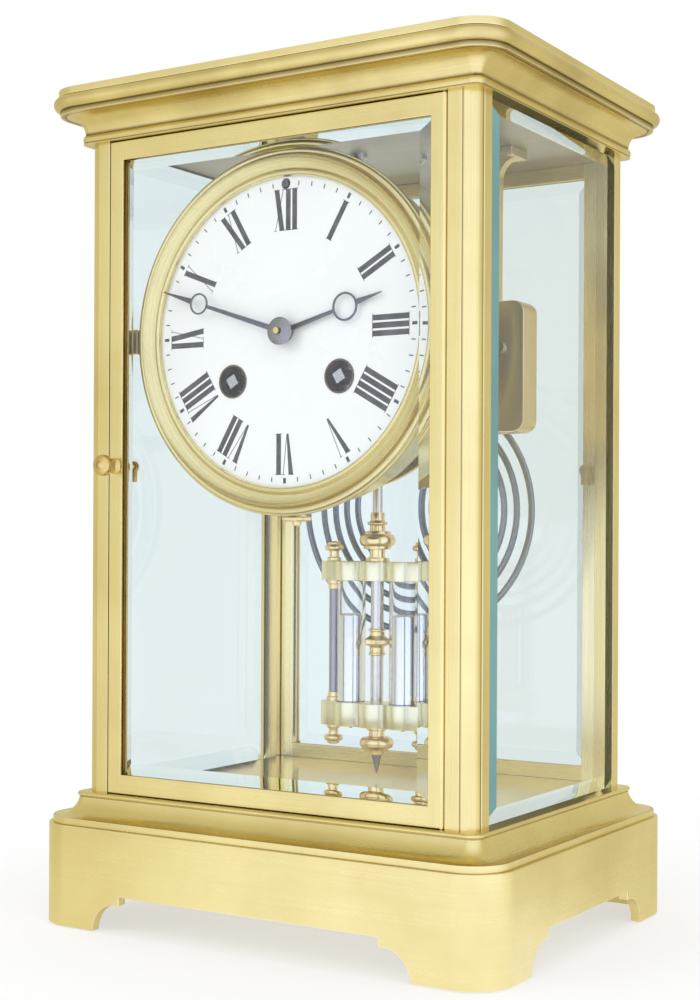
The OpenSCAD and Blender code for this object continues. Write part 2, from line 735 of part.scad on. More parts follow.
module dial_eyelets() color(brass) for (p = [going_at, strike_at]) at(p) turned_y(dial_y) difference() {
    union() {
        translate([0, -eyelet_len]) square([winding_hole_r - seat, eyelet_len]);
        square([winding_hole_r + eyelet_lip, eyelet_lip]);
    }
    translate([0, -eyelet_len - over])
        square([winding_hole_r - eyelet_wall, eyelet_len + 2 * over + eyelet_lip]);
}

eyelet_len = dial_t + 1.6;
eyelet_lip = 0.2;
eyelet_wall = 0.35;

// Movement plates and what they carry
module pillar_spots() for (a = pillar_angles) translate(polar(pillar_at, a)) children();
module plate_outline() difference() {
    circle(plate_r);
    for (p = thin_pivots) translate(p) circle(pivot_r + play);
    for (p = [going_at, strike_at]) translate(p) circle(barrel_arbor_r + play);
    translate(hammer_at) circle(pallet_arbor_r + play);
    translate(pallet_at) circle(pallet_arbor_r + play);
    translate(regulator_at) circle(centre_arbor_r + play);
    circle(centre_arbor_r + play);
    pillar_spots() circle(pillar_stud_r + seat);
}
module front_plate() color(brass) {
    at(centre_at) slab(plate_front_y, plate_t) plate_outline();
    at(minute_wheel_at) rod_y(hour_wheel_y - 0.6, plate_front_y - hour_wheel_y + over, thin_arbor_r);
}
module back_plate() color(brass) at(centre_at) slab(back_plate_y, plate_t) plate_outline();
module plate_pillars() color(brass) for (a = pillar_angles) at(polar(pillar_at, a)) {
    rod_y(plate_front_y, plate_t + plate_gap + plate_t + 1.8, pillar_stud_r);
    rod_y(inner_y, plate_gap, pillar_r);
    turned_y(inner_y + plate_gap / 2) difference() {
        translate([pillar_r, 0]) circle(0.8);
        translate([-pillar_r, -pillar_r]) square([2 * pillar_r - 0.4, 2 * pillar_r]);
    }
    slab(rear_y, 2.2) difference() {
        circle(2.7, $fn = 6);
        circle(pillar_stud_r + seat);
    }
}
cock_low = pallet_at[1] + 2.4;
cock_high = regulator_up + 3;
cheek_len = 8;
module suspension_cock() color(brass) at(centre_at) difference() {
    union() {
        slab(rear_y, 2.4) translate([-6, cock_low]) square([12, cock_high - cock_low]);
        for (x = [-5.4, 3.4]) slab(rear_y, pendulum_back + cheek_len / 2) translate([x, cock_low])
            square([2, 2.6]);
        slab(pendulum_y - cheek_len / 2, cheek_len) translate([-4, pallet_at[1] - 1.4])
            square([8, cock_low + 2.6 - pallet_at[1] + 1.4]);
    }
    slab(pendulum_y - cheek_len, 2 * cheek_len) translate([-0.45, pallet_at[1] - 4]) square([0.9, 8]);
    translate([0, 0, regulator_up]) rod_y(rear_y - over, pendulum_back, centre_arbor_r + play);
    translate([0, 0, pallet_at[1]])
        rod_y(pendulum_y - cheek_len, 2 * cheek_len, suspension_pin_r + play);
}
suspension_pin_r = 0.6;
ratchet_r = 6.4;
ratchet_teeth = 30;
ratchet_y = plate_front_y - 2;
module click() {
    pivot = polar(ratchet_r + 3.2, -20);
    nose = polar(ratchet_r + 0.25, 22);
    out = polar(1.3, 22);
    slab(ratchet_y, 1.2) {
        translate(pivot) circle(1.8);
        polygon([pivot - out, pivot + out, nose + out, nose]);
    }
    translate([pivot[0], 0, pivot[1]]) rod_y(ratchet_y, plate_front_y - ratchet_y, 1);
}
module clicks() color(steel) both_sides() at(going_at) click();

// Doors: stiles run the full height and the rails stand between them
module door_stile_section(hinged) {
    translate([0, hinge_in]) square([stile_w, door_t - hinge_in]);
    square([hinged ? stile_w - hinge_in : stile_w, door_t]);
    if (hinged) translate([stile_w - hinge_in, hinge_in]) circle(hinge_in);
}
groove_y = glass_recess - seat;
groove_t = glass_t + 2 * seat;
module door_stile(hinged) difference() {
    linear_extrude(door_h) door_stile_section(hinged);
    translate([-over, groove_y, rail_w - glass_groove])
        cube([glass_groove + over, groove_t, door_h - 2 * (rail_w - glass_groove)]);
    if (hinged) for (z = [-over, door_h - hinge_pin_in]) translate([stile_w - hinge_in, hinge_in, z])
        cylinder(r = hinge_pin_r + seat, h = hinge_pin_in + over);
    else translate([stile_w / 2, 0, knob_z - door_gap])
        rod_y(-over, door_t + 2 * over, knob_shaft_r + play);
}
module door_rail() difference() {
    len = door_w - 2 * stile_w;
    translate([-len / 2, 0, 0]) cube([len, door_t, rail_w]);
    translate([-len, groove_y, rail_w - glass_groove]) cube([2 * len, groove_t, rail_w]);
}
module door_place() translate([0, front_y, floor_z + door_gap]) children();
module door_frame() door_place() {
    translate([door_w / 2 - stile_w, 0, 0]) door_stile(true);
    mirror([1, 0, 0]) translate([door_w / 2 - stile_w, 0, 0]) door_stile(false);
    door_rail();
    translate([0, 0, door_h]) mirror([0, 0, 1]) door_rail();
}
module door_glass() door_place() translate([0, glass_recess, rail_w - glass_groove + seat])
    bevelled_glass(door_w - 2 * (stile_w - glass_groove + seat),
        door_h - 2 * (rail_w - glass_groove + seat));
module hinge_pins() door_place() for (z = [-door_gap - hinge_pin_out, door_h - hinge_pin_in + seat])
    translate([hinge_x, hinge_in, z])
        cylinder(r = hinge_pin_r, h = hinge_pin_out + door_gap + hinge_pin_in - seat);
latch_len = 5;
latch_y = column_w - door_t + 0.25;
module door_knob() translate([-knob_x, front_y, floor_z + knob_z]) {
    turned_y(0) polygon([[0, 0.1], [2.6, 0.1], [2.6, 0.9], [1.9, 1.5], [1.5, 2.6], [1.6, 3.8],
        [2.4, 4.5],
        [knob_r - 0.5, 4.9], [knob_r, 5.4], [knob_r, 7.2], [knob_r - 0.6, 7.9], [1, 8.2], [1, 8.6],
            [0, 8.7]]);
    rod_y(-0.2, door_t + latch_y + 1.7, knob_shaft_r);
    slab(door_t + latch_y, 1.5) {
        translate([-1.3, -latch_len]) square([2.6, latch_len]);
        circle(2);
    }
}
module front_door_frame() color(brass) door_frame();
module front_glass() color(clear_glass) door_glass();
module front_hinge_pins() color(steel) hinge_pins();
module front_knob() color(dark_brass) door_knob();
module rear_door_frame() color(brass) rear_side() door_frame();
module rear_glass() color(clear_glass) rear_side() door_glass();
module rear_hinge_pins() color(steel) rear_side() hinge_pins();
module rear_knob() color(dark_brass) rear_side() door_knob();

// Hands with open rings, and the motion work behind the dial
module hand_outline(len, ring_at, ring_r, band, hub_r, hole_r) difference() {
    union() {
        circle(hub_r);
        polygon([[-0.95, 0], [0.95, 0], [0.6, ring_at - ring_r + 0.4], [-0.6, ring_at - ring_r + 0.4]]);
        translate([0, ring_at]) circle(ring_r);
        polygon([[-0.95, ring_at + ring_r - 0.4], [0.95, ring_at + ring_r - 0.4], [0.16, len],
            [-0.16, len]]);
    }
    translate([0, ring_at]) circle(ring_r - band);
    circle(hole_r);
}
module hour_hand() color(blued) at(centre_at) slab(hour_hand_y, hand_t) rotate(-hour_at)
    hand_outline(hour_len, hour_len - hour_ring_in, hour_ring_r, 0.7, hour_hub_r, hour_pipe_r);
module minute_hand() color(blued) at(centre_at) slab(minute_hand_y, hand_t) rotate(-minute_at)
    hand_outline(minute_len, minute_len - minute_ring_in, minute_ring_r, 0.6, minute_hub_r, cannon_r);
module hand_collet() color(steel) at(centre_at) turned_y(minute_hand_y) difference() {
    intersection() {
        square([collet_r, collet_t]);
        translate([0, collet_t - collet_dome_r]) circle(collet_dome_r);
    }
    translate([0, -over]) square([centre_arbor_r + seat, collet_t + 2 * over]);
}
module toothed(n, m, turn = 0) polygon([for (i = [0:n - 1], k = tooth)
    polar(m * (n / 2 + k[0]), turn + (i + k[1]) * 360 / n)]);
module cannon_pinion() color(steel) at(centre_at) difference() {
    union() {
        rod_y(minute_hand_y, minute_wheel_y + 1.6 - minute_hand_y, cannon_r);
        slab(minute_wheel_y - 0.3, 1.9) toothed(cannon_leaves, minute_module, cannon_turn);
    }
    rod_y(minute_hand_y - over, minute_wheel_y + 2 * over + 1.6 - minute_hand_y, centre_arbor_r + play);
}
cannon_turn = mesh_turn(minute_wheel_at, minute_teeth, centre_at, cannon_leaves);
hour_turn = mesh_turn(minute_wheel_at, minute_leaves, centre_at, hour_teeth);
module minute_wheel() color(brass) at(minute_wheel_at) difference() {
    union() {
        slab(minute_wheel_y, 1.2) toothed(minute_teeth, minute_module);
        slab(hour_wheel_y - 0.3, minute_wheel_y - hour_wheel_y + 0.4) toothed(minute_leaves,
            hour_module);
    }
    rod_y(hour_wheel_y - over, minute_wheel_y - hour_wheel_y + 3 * over, thin_arbor_r + play);
}
module hour_wheel() color(brass) at(centre_at) difference() {
    union() {
        slab(hour_wheel_y, 1.1) toothed(hour_teeth, hour_module, hour_turn);
        rod_y(hour_hand_y, hour_wheel_y - hour_hand_y + 0.5, hour_pipe_r);
    }
    rod_y(hour_hand_y - over, hour_wheel_y - hour_hand_y + 3 * over, cannon_r + play);
}

// Train wheels: a crossed-out wheel and a pinion on one pivoted arbor
module crossings(rim_r, hub_r, arms) difference() {
    circle(rim_r);
    circle(hub_r);
    for (i = [0:arms - 1]) rotate(i * 360 / arms) translate([0, -0.7]) square([rim_r + over, 1.4]);
}
module crossed_wheel(d, n, m, arms, hub_r) slab(inner_y + d, wheel_t) difference() {
    toothed(n, m);
    crossings(root_r(n, m) - 1.3, hub_r, arms);
}
module leaves(d, n, m, turn) slab(inner_y + d + wheel_t / 2 - leaf_len / 2, leaf_len) toothed(n, m,
    turn);
module pivoted_arbor(r) {
    rod_y(inner_y + end_shake, plate_gap - 2 * end_shake, r);
    rod_y(plate_front_y, plate_gap + 2 * plate_t, pivot_r);
}
module barrel() difference() {
    union() {
        rod_y(inner_y + barrel_front_d, barrel_teeth_d - barrel_front_d, root_r(barrel_teeth,
            barrel_m) - 1);
        slab(inner_y + barrel_teeth_d, barrel_teeth_t) toothed(barrel_teeth, barrel_m);
    }
    rod_y(inner_y, plate_gap, barrel_arbor_r + play);
    rod_y(inner_y + barrel_front_d - over, 1.6, root_r(barrel_teeth, barrel_m) - 2.4);
}
module going_barrel() color(brass) at(going_at) barrel();
module strike_barrel() color(brass) at(strike_at) barrel();
winding_turn = 30;
module winding_arbor() {
    rod_y(ratchet_y - 0.6, rear_y + 1.4 - ratchet_y, barrel_arbor_r);
    slab(dial_y - 0.4, ratchet_y - dial_y) rotate(winding_turn) square(winding_square, center = true);
    slab(ratchet_y, 1.2) polygon([for (i = [0:ratchet_teeth - 1], k = [[0, 0], [-0.9, 0.15]])
        polar(ratchet_r + k[0], (i + k[1]) * 360 / ratchet_teeth)]);
}
module going_winding_arbor() color(steel) at(going_at) winding_arbor();
module strike_winding_arbor() color(steel) at(strike_at) winding_arbor();
module intermediate(p, barrel_p, d) at(p) {
    crossed_wheel(d, inter_teeth, inter_m, 4, 4.2);
    slab(inner_y + barrel_teeth_d - 0.9, 3.4)
        toothed(barrel_leaves, barrel_m, mesh_turn(barrel_p, barrel_teeth, p, barrel_leaves));
    pivoted_arbor(inter_arbor_r);
}
module going_intermediate_wheel() color(brass) intermediate(inter_at, going_at, inter_wheel_d);
module strike_intermediate_wheel() color(brass) intermediate(strike_inter_at, strike_at,
    strike_inter_d);
module driven(p, d, n, m, arms, from, from_n, from_m, from_d, n2) at(p) {
    crossed_wheel(d, n, m, arms, 3);
    leaves(from_d, n2, from_m, mesh_turn(from, from_n, p, n2));
}
module centre_wheel() color(brass) {
    driven(centre_at, centre_wheel_d, centre_teeth, centre_m, 5, inter_at, inter_teeth,
        inter_m, inter_wheel_d,
        inter_leaves);
    at(centre_at) rod_y(minute_hand_y - collet_t - 0.6, rear_y - minute_hand_y + collet_t + 0.6,
        centre_arbor_r);
}
module third_wheel() color(brass) {
    driven(third_at, third_wheel_d, third_teeth, third_m, 5, centre_at, centre_teeth,
        centre_m, centre_wheel_d,
        small_leaves);
    at(third_at) pivoted_arbor(thin_arbor_r);
}
module escape_wheel() color(brass) at(escape_at) {
    slab(inner_y + escape_wheel_d, 0.9) difference() {
        polygon([for (i = [0:escape_teeth - 1], k = [[-1.6, 0], [0, 0.1], [0, 0.16], [-1.6, 0.6]])
            polar(escape_tip_r + k[0], (i + k[1]) * 360 / escape_teeth)]);
        crossings(escape_tip_r - 2.8, 2.2, 4);
    }
    leaves(third_wheel_d, small_leaves, third_m, mesh_turn(third_at, third_teeth, escape_at,
        small_leaves));
    pivoted_arbor(thin_arbor_r);
}
swing = 3;
pallet_clear = 0.55;
crutch_y = rear_y + 2.8;
module wedge(a0, a1, r) polygon([[0, 0], polar(r, a0), polar(r, (a0 + a1) / 2), polar(r, a1)]);
module bow(r0, r1, a0, a1) intersection() {
    difference() {
        circle(r1);
        circle(r0);
    }
    wedge(a0, a1, 2 * r1);
}
module pallets() color(steel) at(pallet_at) {
    slab(inner_y + escape_wheel_d - 0.5, 2) {
        translate([0, -pallet_rise]) {
            bow(pallet_rise - 0.6, pallet_rise + 1.4, 42, 138);
            bow(escape_tip_r + pallet_clear, pallet_rise + 1.4, 42, 50);
            bow(escape_tip_r + pallet_clear, pallet_rise + 1.4, 130, 138);
        }
        circle(pallet_rise - escape_tip_r - pallet_clear);
    }
    rod_y(plate_front_y, crutch_y + 1.2 - plate_front_y, pallet_arbor_r);
    slab(crutch_y, 1.2) {
        circle(2);
        translate([-1.1, -crutch_len]) square([2.2, crutch_len]);
        translate([0, -crutch_len]) circle(1.5);
    }
    translate([0, 0, -crutch_len]) rod_y(crutch_y, pendulum_y + 3 - crutch_y, crutch_pin_r);
}
crutch_pin_r = 0.7;
module pin_wheel() color(brass) {
    driven(pin_at, pin_wheel_d, pin_teeth, centre_m, 5, strike_inter_at, inter_teeth,
        inter_m, strike_inter_d,
        inter_leaves);
    at(pin_at) {
        pivoted_arbor(inter_arbor_r);
        for (i = [0:7]) rotate([0, 45 * i, 0]) translate([lift_pins_r, 0, 0])
            rod_y(inner_y + pin_wheel_d + wheel_t / 2, wheel_t / 2 + 2, 0.45);
    }
}
lift_pins_r = root_r(pin_teeth, centre_m) - 0.7;
module locking_wheel() color(brass) {
    driven(locking_at, locking_wheel_d, locking_teeth, third_m, 4, pin_at, pin_teeth,
        centre_m, pin_wheel_d,
        small_leaves);
    at(locking_at) pivoted_arbor(thin_arbor_r);
}
module warning_wheel() color(brass) {
    driven(warning_at, warning_wheel_d, warning_teeth, warning_m, 4, locking_at,
        locking_teeth, third_m,
        locking_wheel_d, small_leaves);
    at(warning_at) pivoted_arbor(thin_arbor_r);
}
fly_d = 6;
fly_len = 13;
fly_w = 11;
fly_t = 0.5;
module fly() color(steel) at(fly_at) {
    leaves(warning_wheel_d, small_leaves, warning_m, mesh_turn(warning_at, warning_teeth,
        fly_at, small_leaves));
    pivoted_arbor(thin_arbor_r);
    slab(inner_y + fly_d, fly_len) rotate(30) square([fly_w * calibre, fly_t], center = true);
}
hammer_head_r = 3;
hammer_gap = 1;
hammer_from = 150;
hammer_out = gong_reach(hammer_from - gong_end) + gong_wire_r + hammer_gap + hammer_head_r;
hammer_head_at = [gong_x, gong_z - dial_z] + polar(hammer_out, hammer_from);
hammer_arm_y = rear_y + 3.4;
module hammer() color(steel) {
    at(hammer_at) {
        rod_y(plate_front_y, hammer_arm_y + 1.6 - plate_front_y, pallet_arbor_r);
        slab(hammer_arm_y, 1.6) {
            circle(2.2);
            rotate(direction(hammer_at, hammer_head_at)) translate([0, -1.1])
                square([norm(hammer_head_at - hammer_at), 2.2]);
        }
        slab(inner_y + pin_wheel_d + wheel_t + 0.3, 1.4) {
            circle(1.8);
            rotate(direction(hammer_at, pin_at)) translate([0, -0.7])
                square([norm(pin_at - hammer_at) - lift_pins_r - 0.8, 1.4]);
        }
    }
    at(hammer_head_at) {
        rod_y(hammer_arm_y, gong_y - hammer_arm_y, 1.2);
        rod_y(gong_y - 3.5, 7, hammer_head_r);
    }
}
module regulator_arbor() color(steel) at(regulator_at) {
    rod_y(dial_y + 1.6, pendulum_y - dial_y - 2.6, centre_arbor_r);
    slab(dial_y - 0.3, 2.5) square(2.1, center = true);
    rod_y(pendulum_y - 3, 2, 2.2);
}

// Pendulum
module at_pendulum(x, z) translate([x, pendulum_y, z]) children();
block_top = pendulum_top - strip_len;
crutch_z = pendulum_top - crutch_len;
module pendulum_rod() color(steel) difference() {
    union() {
        at_pendulum(-strip_t / 2, block_top - 2) translate([0, -strip_w / 2, 0])
            cube([strip_t, strip_w, strip_len + 3.6]);
        at_pendulum(0, pendulum_top) translate([0, -pendulum_y, 0])
            rod_y(pendulum_y - cheek_len / 2, cheek_len, suspension_pin_r);
        at_pendulum(-2, block_top - 4) translate([0, -3, 0]) cube([4, 6, 5]);
        at_pendulum(0, yoke_top - over) cylinder(r = rod_r, h = block_top - 3 - yoke_top + over);
        at_pendulum(-3.2, crutch_z - 3) translate([0, -2.4, 0]) cube([6.4, 4.8, 6]);
        at_pendulum(0, point_z + point_len) cylinder(r = core_r, h = yoke_top - point_z - point_len);
        at_pendulum(0, point_z) cylinder(r1 = 0.2, r2 = core_r, h = point_len);
    }
    at_pendulum(0, crutch_z) translate([0, -pendulum_y, 0])
        rod_y(pendulum_y - 5, 10, crutch_pin_r + 0.12);
}
lobe_r = 4.4;
yoke_waist = 2 * lobe_r;
module yoke_outline() difference() {
    union() {
        square([2 * side_rod_x, yoke_waist], center = true);
        circle(6.6);
        for (x = [-jar_x, jar_x]) translate([x, 0]) circle(jar_r + 0.9);
        for (x = [-side_rod_x, side_rod_x]) translate([x, 0]) circle(lobe_r);
    }
    circle(core_r + seat);
    for (x = [-side_rod_x, side_rod_x]) translate([x, 0]) circle(side_rod_r + seat);
}
module pendulum_yokes() color(brass) {
    at_pendulum(0, lower_yoke_z) linear_extrude(lower_yoke_t) yoke_outline();
    at_pendulum(0, upper_yoke_z) linear_extrude(upper_yoke_t) yoke_outline();
}
jar_floor = 1;
module pendulum_jars() color(clear_glass) for (x = [-jar_x, jar_x]) at_pendulum(x, jar_z) difference() {
    cylinder(r = jar_r, h = jar_len);
    translate([0, 0, jar_floor]) cylinder(r = jar_r - jar_wall, h = jar_len);
}
module pendulum_mercury() color(mercury_grey) for (x = [-jar_x, jar_x])
    at_pendulum(x, jar_z + jar_floor)
    cylinder(r = jar_r - jar_wall - seat, h = mercury_h);
finial_in = 1.5;
module pendulum_side_rods() color(steel) for (x = [-side_rod_x, side_rod_x])
    at_pendulum(x, lower_yoke_z - finial_in)
    cylinder(r = side_rod_r, h = yoke_top - lower_yoke_z + 2 * finial_in);
// Turned brass on the rods: each profile is [radius, height]
module turned(bore, points) difference() {
    rotate_extrude() polygon(concat([[0, points[0][1]]], points, [[0, points[len(points) - 1][1]]]));
    translate([0, 0, points[0][1] - over])
        cylinder(r = bore + seat, h = points[len(points) - 1][1] - points[0][1] + 2 * over);
}
small_finial = [[2.4, 0], [2.4, 1.2], [1.9, 1.6], [1.8, 2.6], [1.9, 3.5], [2.5, 3.8], [3.2, 4.2],
    [3.3, 4.9], [3.2, 5.6], [2.3, 5.9], [2.2, 6.5], [1.5, 6.9], [0, 7]];
rod_cap_r = 1.95;
rod_cap_h = 3.2;
rod_foot_r = 2.45;
rod_foot_h = 1.4;
// Space left between a rod's foot and the jar beside it
foot_gap = 0.15;
module rod_cap(jar_side) difference() {
    union() {
        cylinder(r = rod_cap_r, h = rod_cap_h);
        cylinder(r = rod_foot_r, h = rod_foot_h);
    }
    translate([0, 0, -over]) cylinder(r = side_rod_r + seat, h = rod_cap_h + 2 * over);
    translate([jar_side * (side_rod_x - jar_x), 0, -over])
        cylinder(r = jar_r + foot_gap, h = rod_cap_h + 2 * over);
}
module small_finials() for (x = [-side_rod_x, side_rod_x]) {
    at_pendulum(x, jar_z) rod_cap(-sign(x));
    at_pendulum(x, upper_yoke_z) mirror([0, 0, 1]) rod_cap(-sign(x));
    at_pendulum(x, yoke_top) finial();
    at_pendulum(x, lower_yoke_z) mirror([0, 0, 1]) finial();
}
module finial() difference() {
    rotate_extrude() polygon(concat([[0, 0]], small_finial));
    translate([0, 0, -over]) cylinder(r = side_rod_r + seat, h = finial_in + over + seat);
}
top_knob = [[4.2, 0], [4.2, 1.2], [2.7, 1.4], [2.6, 2.8], [2.7, 4.1], [4.7, 4.4], [4.8, 5.2],
    [5.6, 5.5], [6.1, 6.3], [6.2, 7.4], [6.1, 8.5], [5.6, 9.3], [4.6, 9.5], [4.5, 10.4], [2.7, 10.6],
    [2.6, 12.4], [3.4, 12.7], [3.5, 13.1], [3.4, 13.5], [2.4, 14.2], [2.4, 16.9]];
middle_collar = [[2.6, 0], [2.9, 0.2], [2.9, 0.8], [2.6, 1], [2.55, 2.6], [2.9, 3], [3.1, 3.2],
    [4.1, 3.7], [4.45, 4.1], [4.45, 5.3], [4.1, 5.7], [3, 6.4], [2.6, 6.8], [2.55, 8.2], [2.9, 8.4],
    [2.9, 9], [2.6, 9.2]];
low_bulb = [[2.6, 0], [2.7, 0.9], [3.9, 1.2], [4.1, 1.9], [5, 2.1], [5.7, 2.8], [5.9, 3.9], [5.7, 5],
    [5, 5.8], [3.2, 6], [2.7, 6.3], [2.7, 8.1], [3.35, 8.3], [3.35, 9.4]];
collar_mid = 4.6;
bulb_h = 9.4;
jar_button_h = 1;
module pendulum_finials() color(brass) {
    small_finials();
    at_pendulum(0, yoke_top) turned(rod_r, top_knob);
    at_pendulum(0, jar_z + jar_len / 2 - collar_mid) turned(core_r, middle_collar);
    at_pendulum(0, lower_yoke_z - bulb_h) turned(core_r, low_bulb);
    for (x = [-jar_x, jar_x])
        at_pendulum(x, lower_yoke_z - jar_button_h) cylinder(r1 = 0.55, r2 = 0.8, h = jar_button_h);
}

plinth();
base_moulding();
floor_plate();
columns();
left_glass();
right_glass();
cornice();
top_plate();
ceiling_plate();
case_screws();
gong_bracket();
gong_block();
gong_coil();
drum();
drum_thumb_nut();
top_hanger();
bezel();
dial();
dial_eyelets();
front_plate();
back_plate();
plate_pillars();
suspension_cock();
clicks();
front_door_frame();
front_glass();
front_hinge_pins();
front_knob();
rear_door_frame();
rear_glass();
rear_hinge_pins();
rear_knob();
minute_hand();
hand_collet();
cannon_pinion();
hour_hand();
hour_wheel();
minute_wheel();
going_barrel();
going_winding_arbor();
going_intermediate_wheel();
centre_wheel();
third_wheel();
escape_wheel();
pallets();
strike_barrel();
strike_winding_arbor();
strike_intermediate_wheel();
pin_wheel();
locking_wheel();
warning_wheel();
fly();
hammer();
regulator_arbor();
pendulum_rod();
pendulum_yokes();
pendulum_jars();
pendulum_mercury();
pendulum_side_rods();
pendulum_finials();
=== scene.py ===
"""Looks of a four-glass mantel clock with a mercury pendulum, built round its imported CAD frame.

Sizes are in millimetres until a piece is finished, and then in metres.
"""

import logging
import math
from dataclasses import dataclass
from enum import Enum, IntEnum
from functools import cache
from typing import Iterable, Optional, Sequence

import bmesh
import bpy
from mathutils import Matrix, Vector


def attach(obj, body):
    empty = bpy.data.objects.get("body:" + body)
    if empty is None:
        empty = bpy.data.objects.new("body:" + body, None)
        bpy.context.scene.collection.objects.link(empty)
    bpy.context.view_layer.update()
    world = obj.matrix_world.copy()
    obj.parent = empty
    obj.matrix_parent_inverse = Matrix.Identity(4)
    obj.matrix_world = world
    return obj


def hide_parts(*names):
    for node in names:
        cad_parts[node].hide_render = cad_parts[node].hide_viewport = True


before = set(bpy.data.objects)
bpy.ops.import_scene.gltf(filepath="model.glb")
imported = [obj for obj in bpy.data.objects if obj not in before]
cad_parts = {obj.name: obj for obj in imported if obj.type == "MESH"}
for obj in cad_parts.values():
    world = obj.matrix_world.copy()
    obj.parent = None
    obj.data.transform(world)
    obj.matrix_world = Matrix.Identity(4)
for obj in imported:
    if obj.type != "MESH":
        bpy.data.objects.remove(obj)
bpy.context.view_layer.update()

MM = 0.001
EDGE = "edge"
CREASE = "crease"

log = logging.getLogger("clock")

Colour = tuple[float, float, float]
Point = tuple[float, float]
Place = tuple[float, float, float]
Mesh = bmesh.types.BMesh
Node = bpy.types.Node
Tree = bpy.types.NodeTree
Socket = bpy.types.NodeSocket


class Grain(Enum):
    """Direction of the brushing on a metal, as stretches along X, Y and Z per metre."""

    LEVEL = (26.0, 26.0, 2300.0)
    UPRIGHT = (2100.0, 2100.0, 22.0)
    ALONG_X = (22.0, 2300.0, 2300.0)
    CLOUDED = (420.0, 420.0, 420.0)


class Axis(Enum):
    """Axis that a turned piece is spun about."""

    UP = "up"
    FRONT = "front"


class Stroke(Enum):
    """Width of a printed stroke on the dial, in millimetres."""

    THICK = 1.75
    THIN = 0.2
    SERIF = 0.17


class PaneFace(IntEnum):
    """Material index of a pane's faces."""

    PLATE = 0
    BEVEL = 1
    LEFT_BEVEL = 2
    EDGE = 3


LETTER_WIDTHS = {"I": 2.42, "V": 4.6, "X": 4.3}


# Shader nodes


class Nodes:
    """Adds and links the nodes of one tree."""

    def __init__(self, tree: Tree) -> None:
        """Takes the tree that gets the nodes."""
        self.tree = tree

    def feed(self, socket: Socket, value: object) -> None:
        """Links another socket to an input, or sets its constant.

        Args:
            socket: The input.
            value: A socket or a constant.
        """
        if isinstance(value, Socket):
            self.tree.links.new(value, socket)
        else:
            socket.default_value = (*value, 1.0) if socket.type == "RGBA" else value

    def add(self, kind: str, values: Optional[dict[str | int, object]] = None, **settings: object) -> Node:
        """Adds a node and sets its properties, and then its inputs.

        Args:
            kind: Blender's node type without its first word.
            values: Sockets or constants for the node's inputs.
            settings: Properties of the node.

        Returns:
            The new node.
        """
        made = self.tree.nodes.new(f"ShaderNode{kind}")
        for key, value in settings.items():
            setattr(made, key, value)
        for key, value in (values or {}).items():
            self.feed(made.inputs[key], value)
        return made

    def math(self, operation: str, *terms: object, clamp: bool = False) -> Socket:
        """Works out a sum of sockets or constants, by Blender's name for it."""
        return self.add("Math", dict(enumerate(terms)), operation=operation, use_clamp=clamp).outputs[0]

    def vector(self, operation: str, result: str, *terms: object) -> Socket:
        """Works out a sum of vectors and gives its result of this name."""
        return self.add("VectorMath", dict(enumerate(terms)), operation=operation).outputs[result]

    def mapped(
        self, source: Socket, low: float, high: float, start: float = 0.3, end: float = 0.7, ease: str = "LINEAR",
    ) -> Socket:
        """Maps a value from one range, start to end, onto another, low to high."""
        values = {"Value": source, "From Min": start, "From Max": end, "To Min": low, "To Max": high}
        return self.add("MapRange", values, clamp=True, interpolation_type=ease).outputs["Result"]

    def mixed(self, factor: Socket, low: object, high: object) -> Socket:
        """Mixes two colours, each a constant or a socket."""
        return self.add("Mix", {6: low, 7: high, "Factor": factor}, data_type="RGBA").outputs[2]

    def between(self, factor: Socket, low: object, high: object) -> Socket:
        """Mixes two numbers, each a constant or a socket."""
        return self.add("Mix", {2: low, 3: high, "Factor": factor}, data_type="FLOAT").outputs[0]

    def noise(self, values: dict[str, object], **settings: object) -> Socket:
        """Adds a noise with these inputs and properties."""
        return self.add("TexNoise", values, **settings).outputs["Fac"]


class GroupNodes(Nodes):
    """The nodes of one shared group."""

    def __init__(self, name: str, vectors: Sequence[str], numbers: Sequence[str], results: Sequence[str]) -> None:
        """Starts a group with its sockets.

        Args:
            name: Name of the group.
            vectors: Names of its vector inputs.
            numbers: Names of its number inputs.
            results: Names of its number outputs.
        """
        super().__init__(bpy.data.node_groups.new(name, "ShaderNodeTree"))
        for way, kind, labels in (
            ("INPUT", "Vector", vectors), ("INPUT", "Float", numbers), ("OUTPUT", "Float", results),
        ):
            for label in labels:
                self.tree.interface.new_socket(label, in_out=way, socket_type=f"NodeSocket{kind}")
        self.takes = self.tree.nodes.new("NodeGroupInput").outputs
        self.gives = self.tree.nodes.new("NodeGroupOutput").inputs


@cache
def brushing_group() -> Tree:
    """Fine brushed lines.

    Returns:
        A group with a height and a tone that follow the brushing.
    """
    g = GroupNodes("brushing", ["Vector", "Stretch"], [], ["Height", "Tone"])
    spread = g.add("Mapping", {"Vector": g.takes["Vector"], "Scale": g.takes["Stretch"]}, vector_type="POINT")
    at = spread.outputs["Vector"]
    lines = g.noise({"Vector": at, "Scale": 1.0, "Detail": 3.0, "Roughness": 0.62})
    broad = g.noise({"Vector": at, "Scale": 0.16, "Detail": 2.0})
    g.feed(g.gives["Height"], lines)
    g.feed(g.gives["Tone"], g.math("MULTIPLY_ADD", lines, 0.55, g.math("MULTIPLY", broad, 0.45)))
    return g.tree


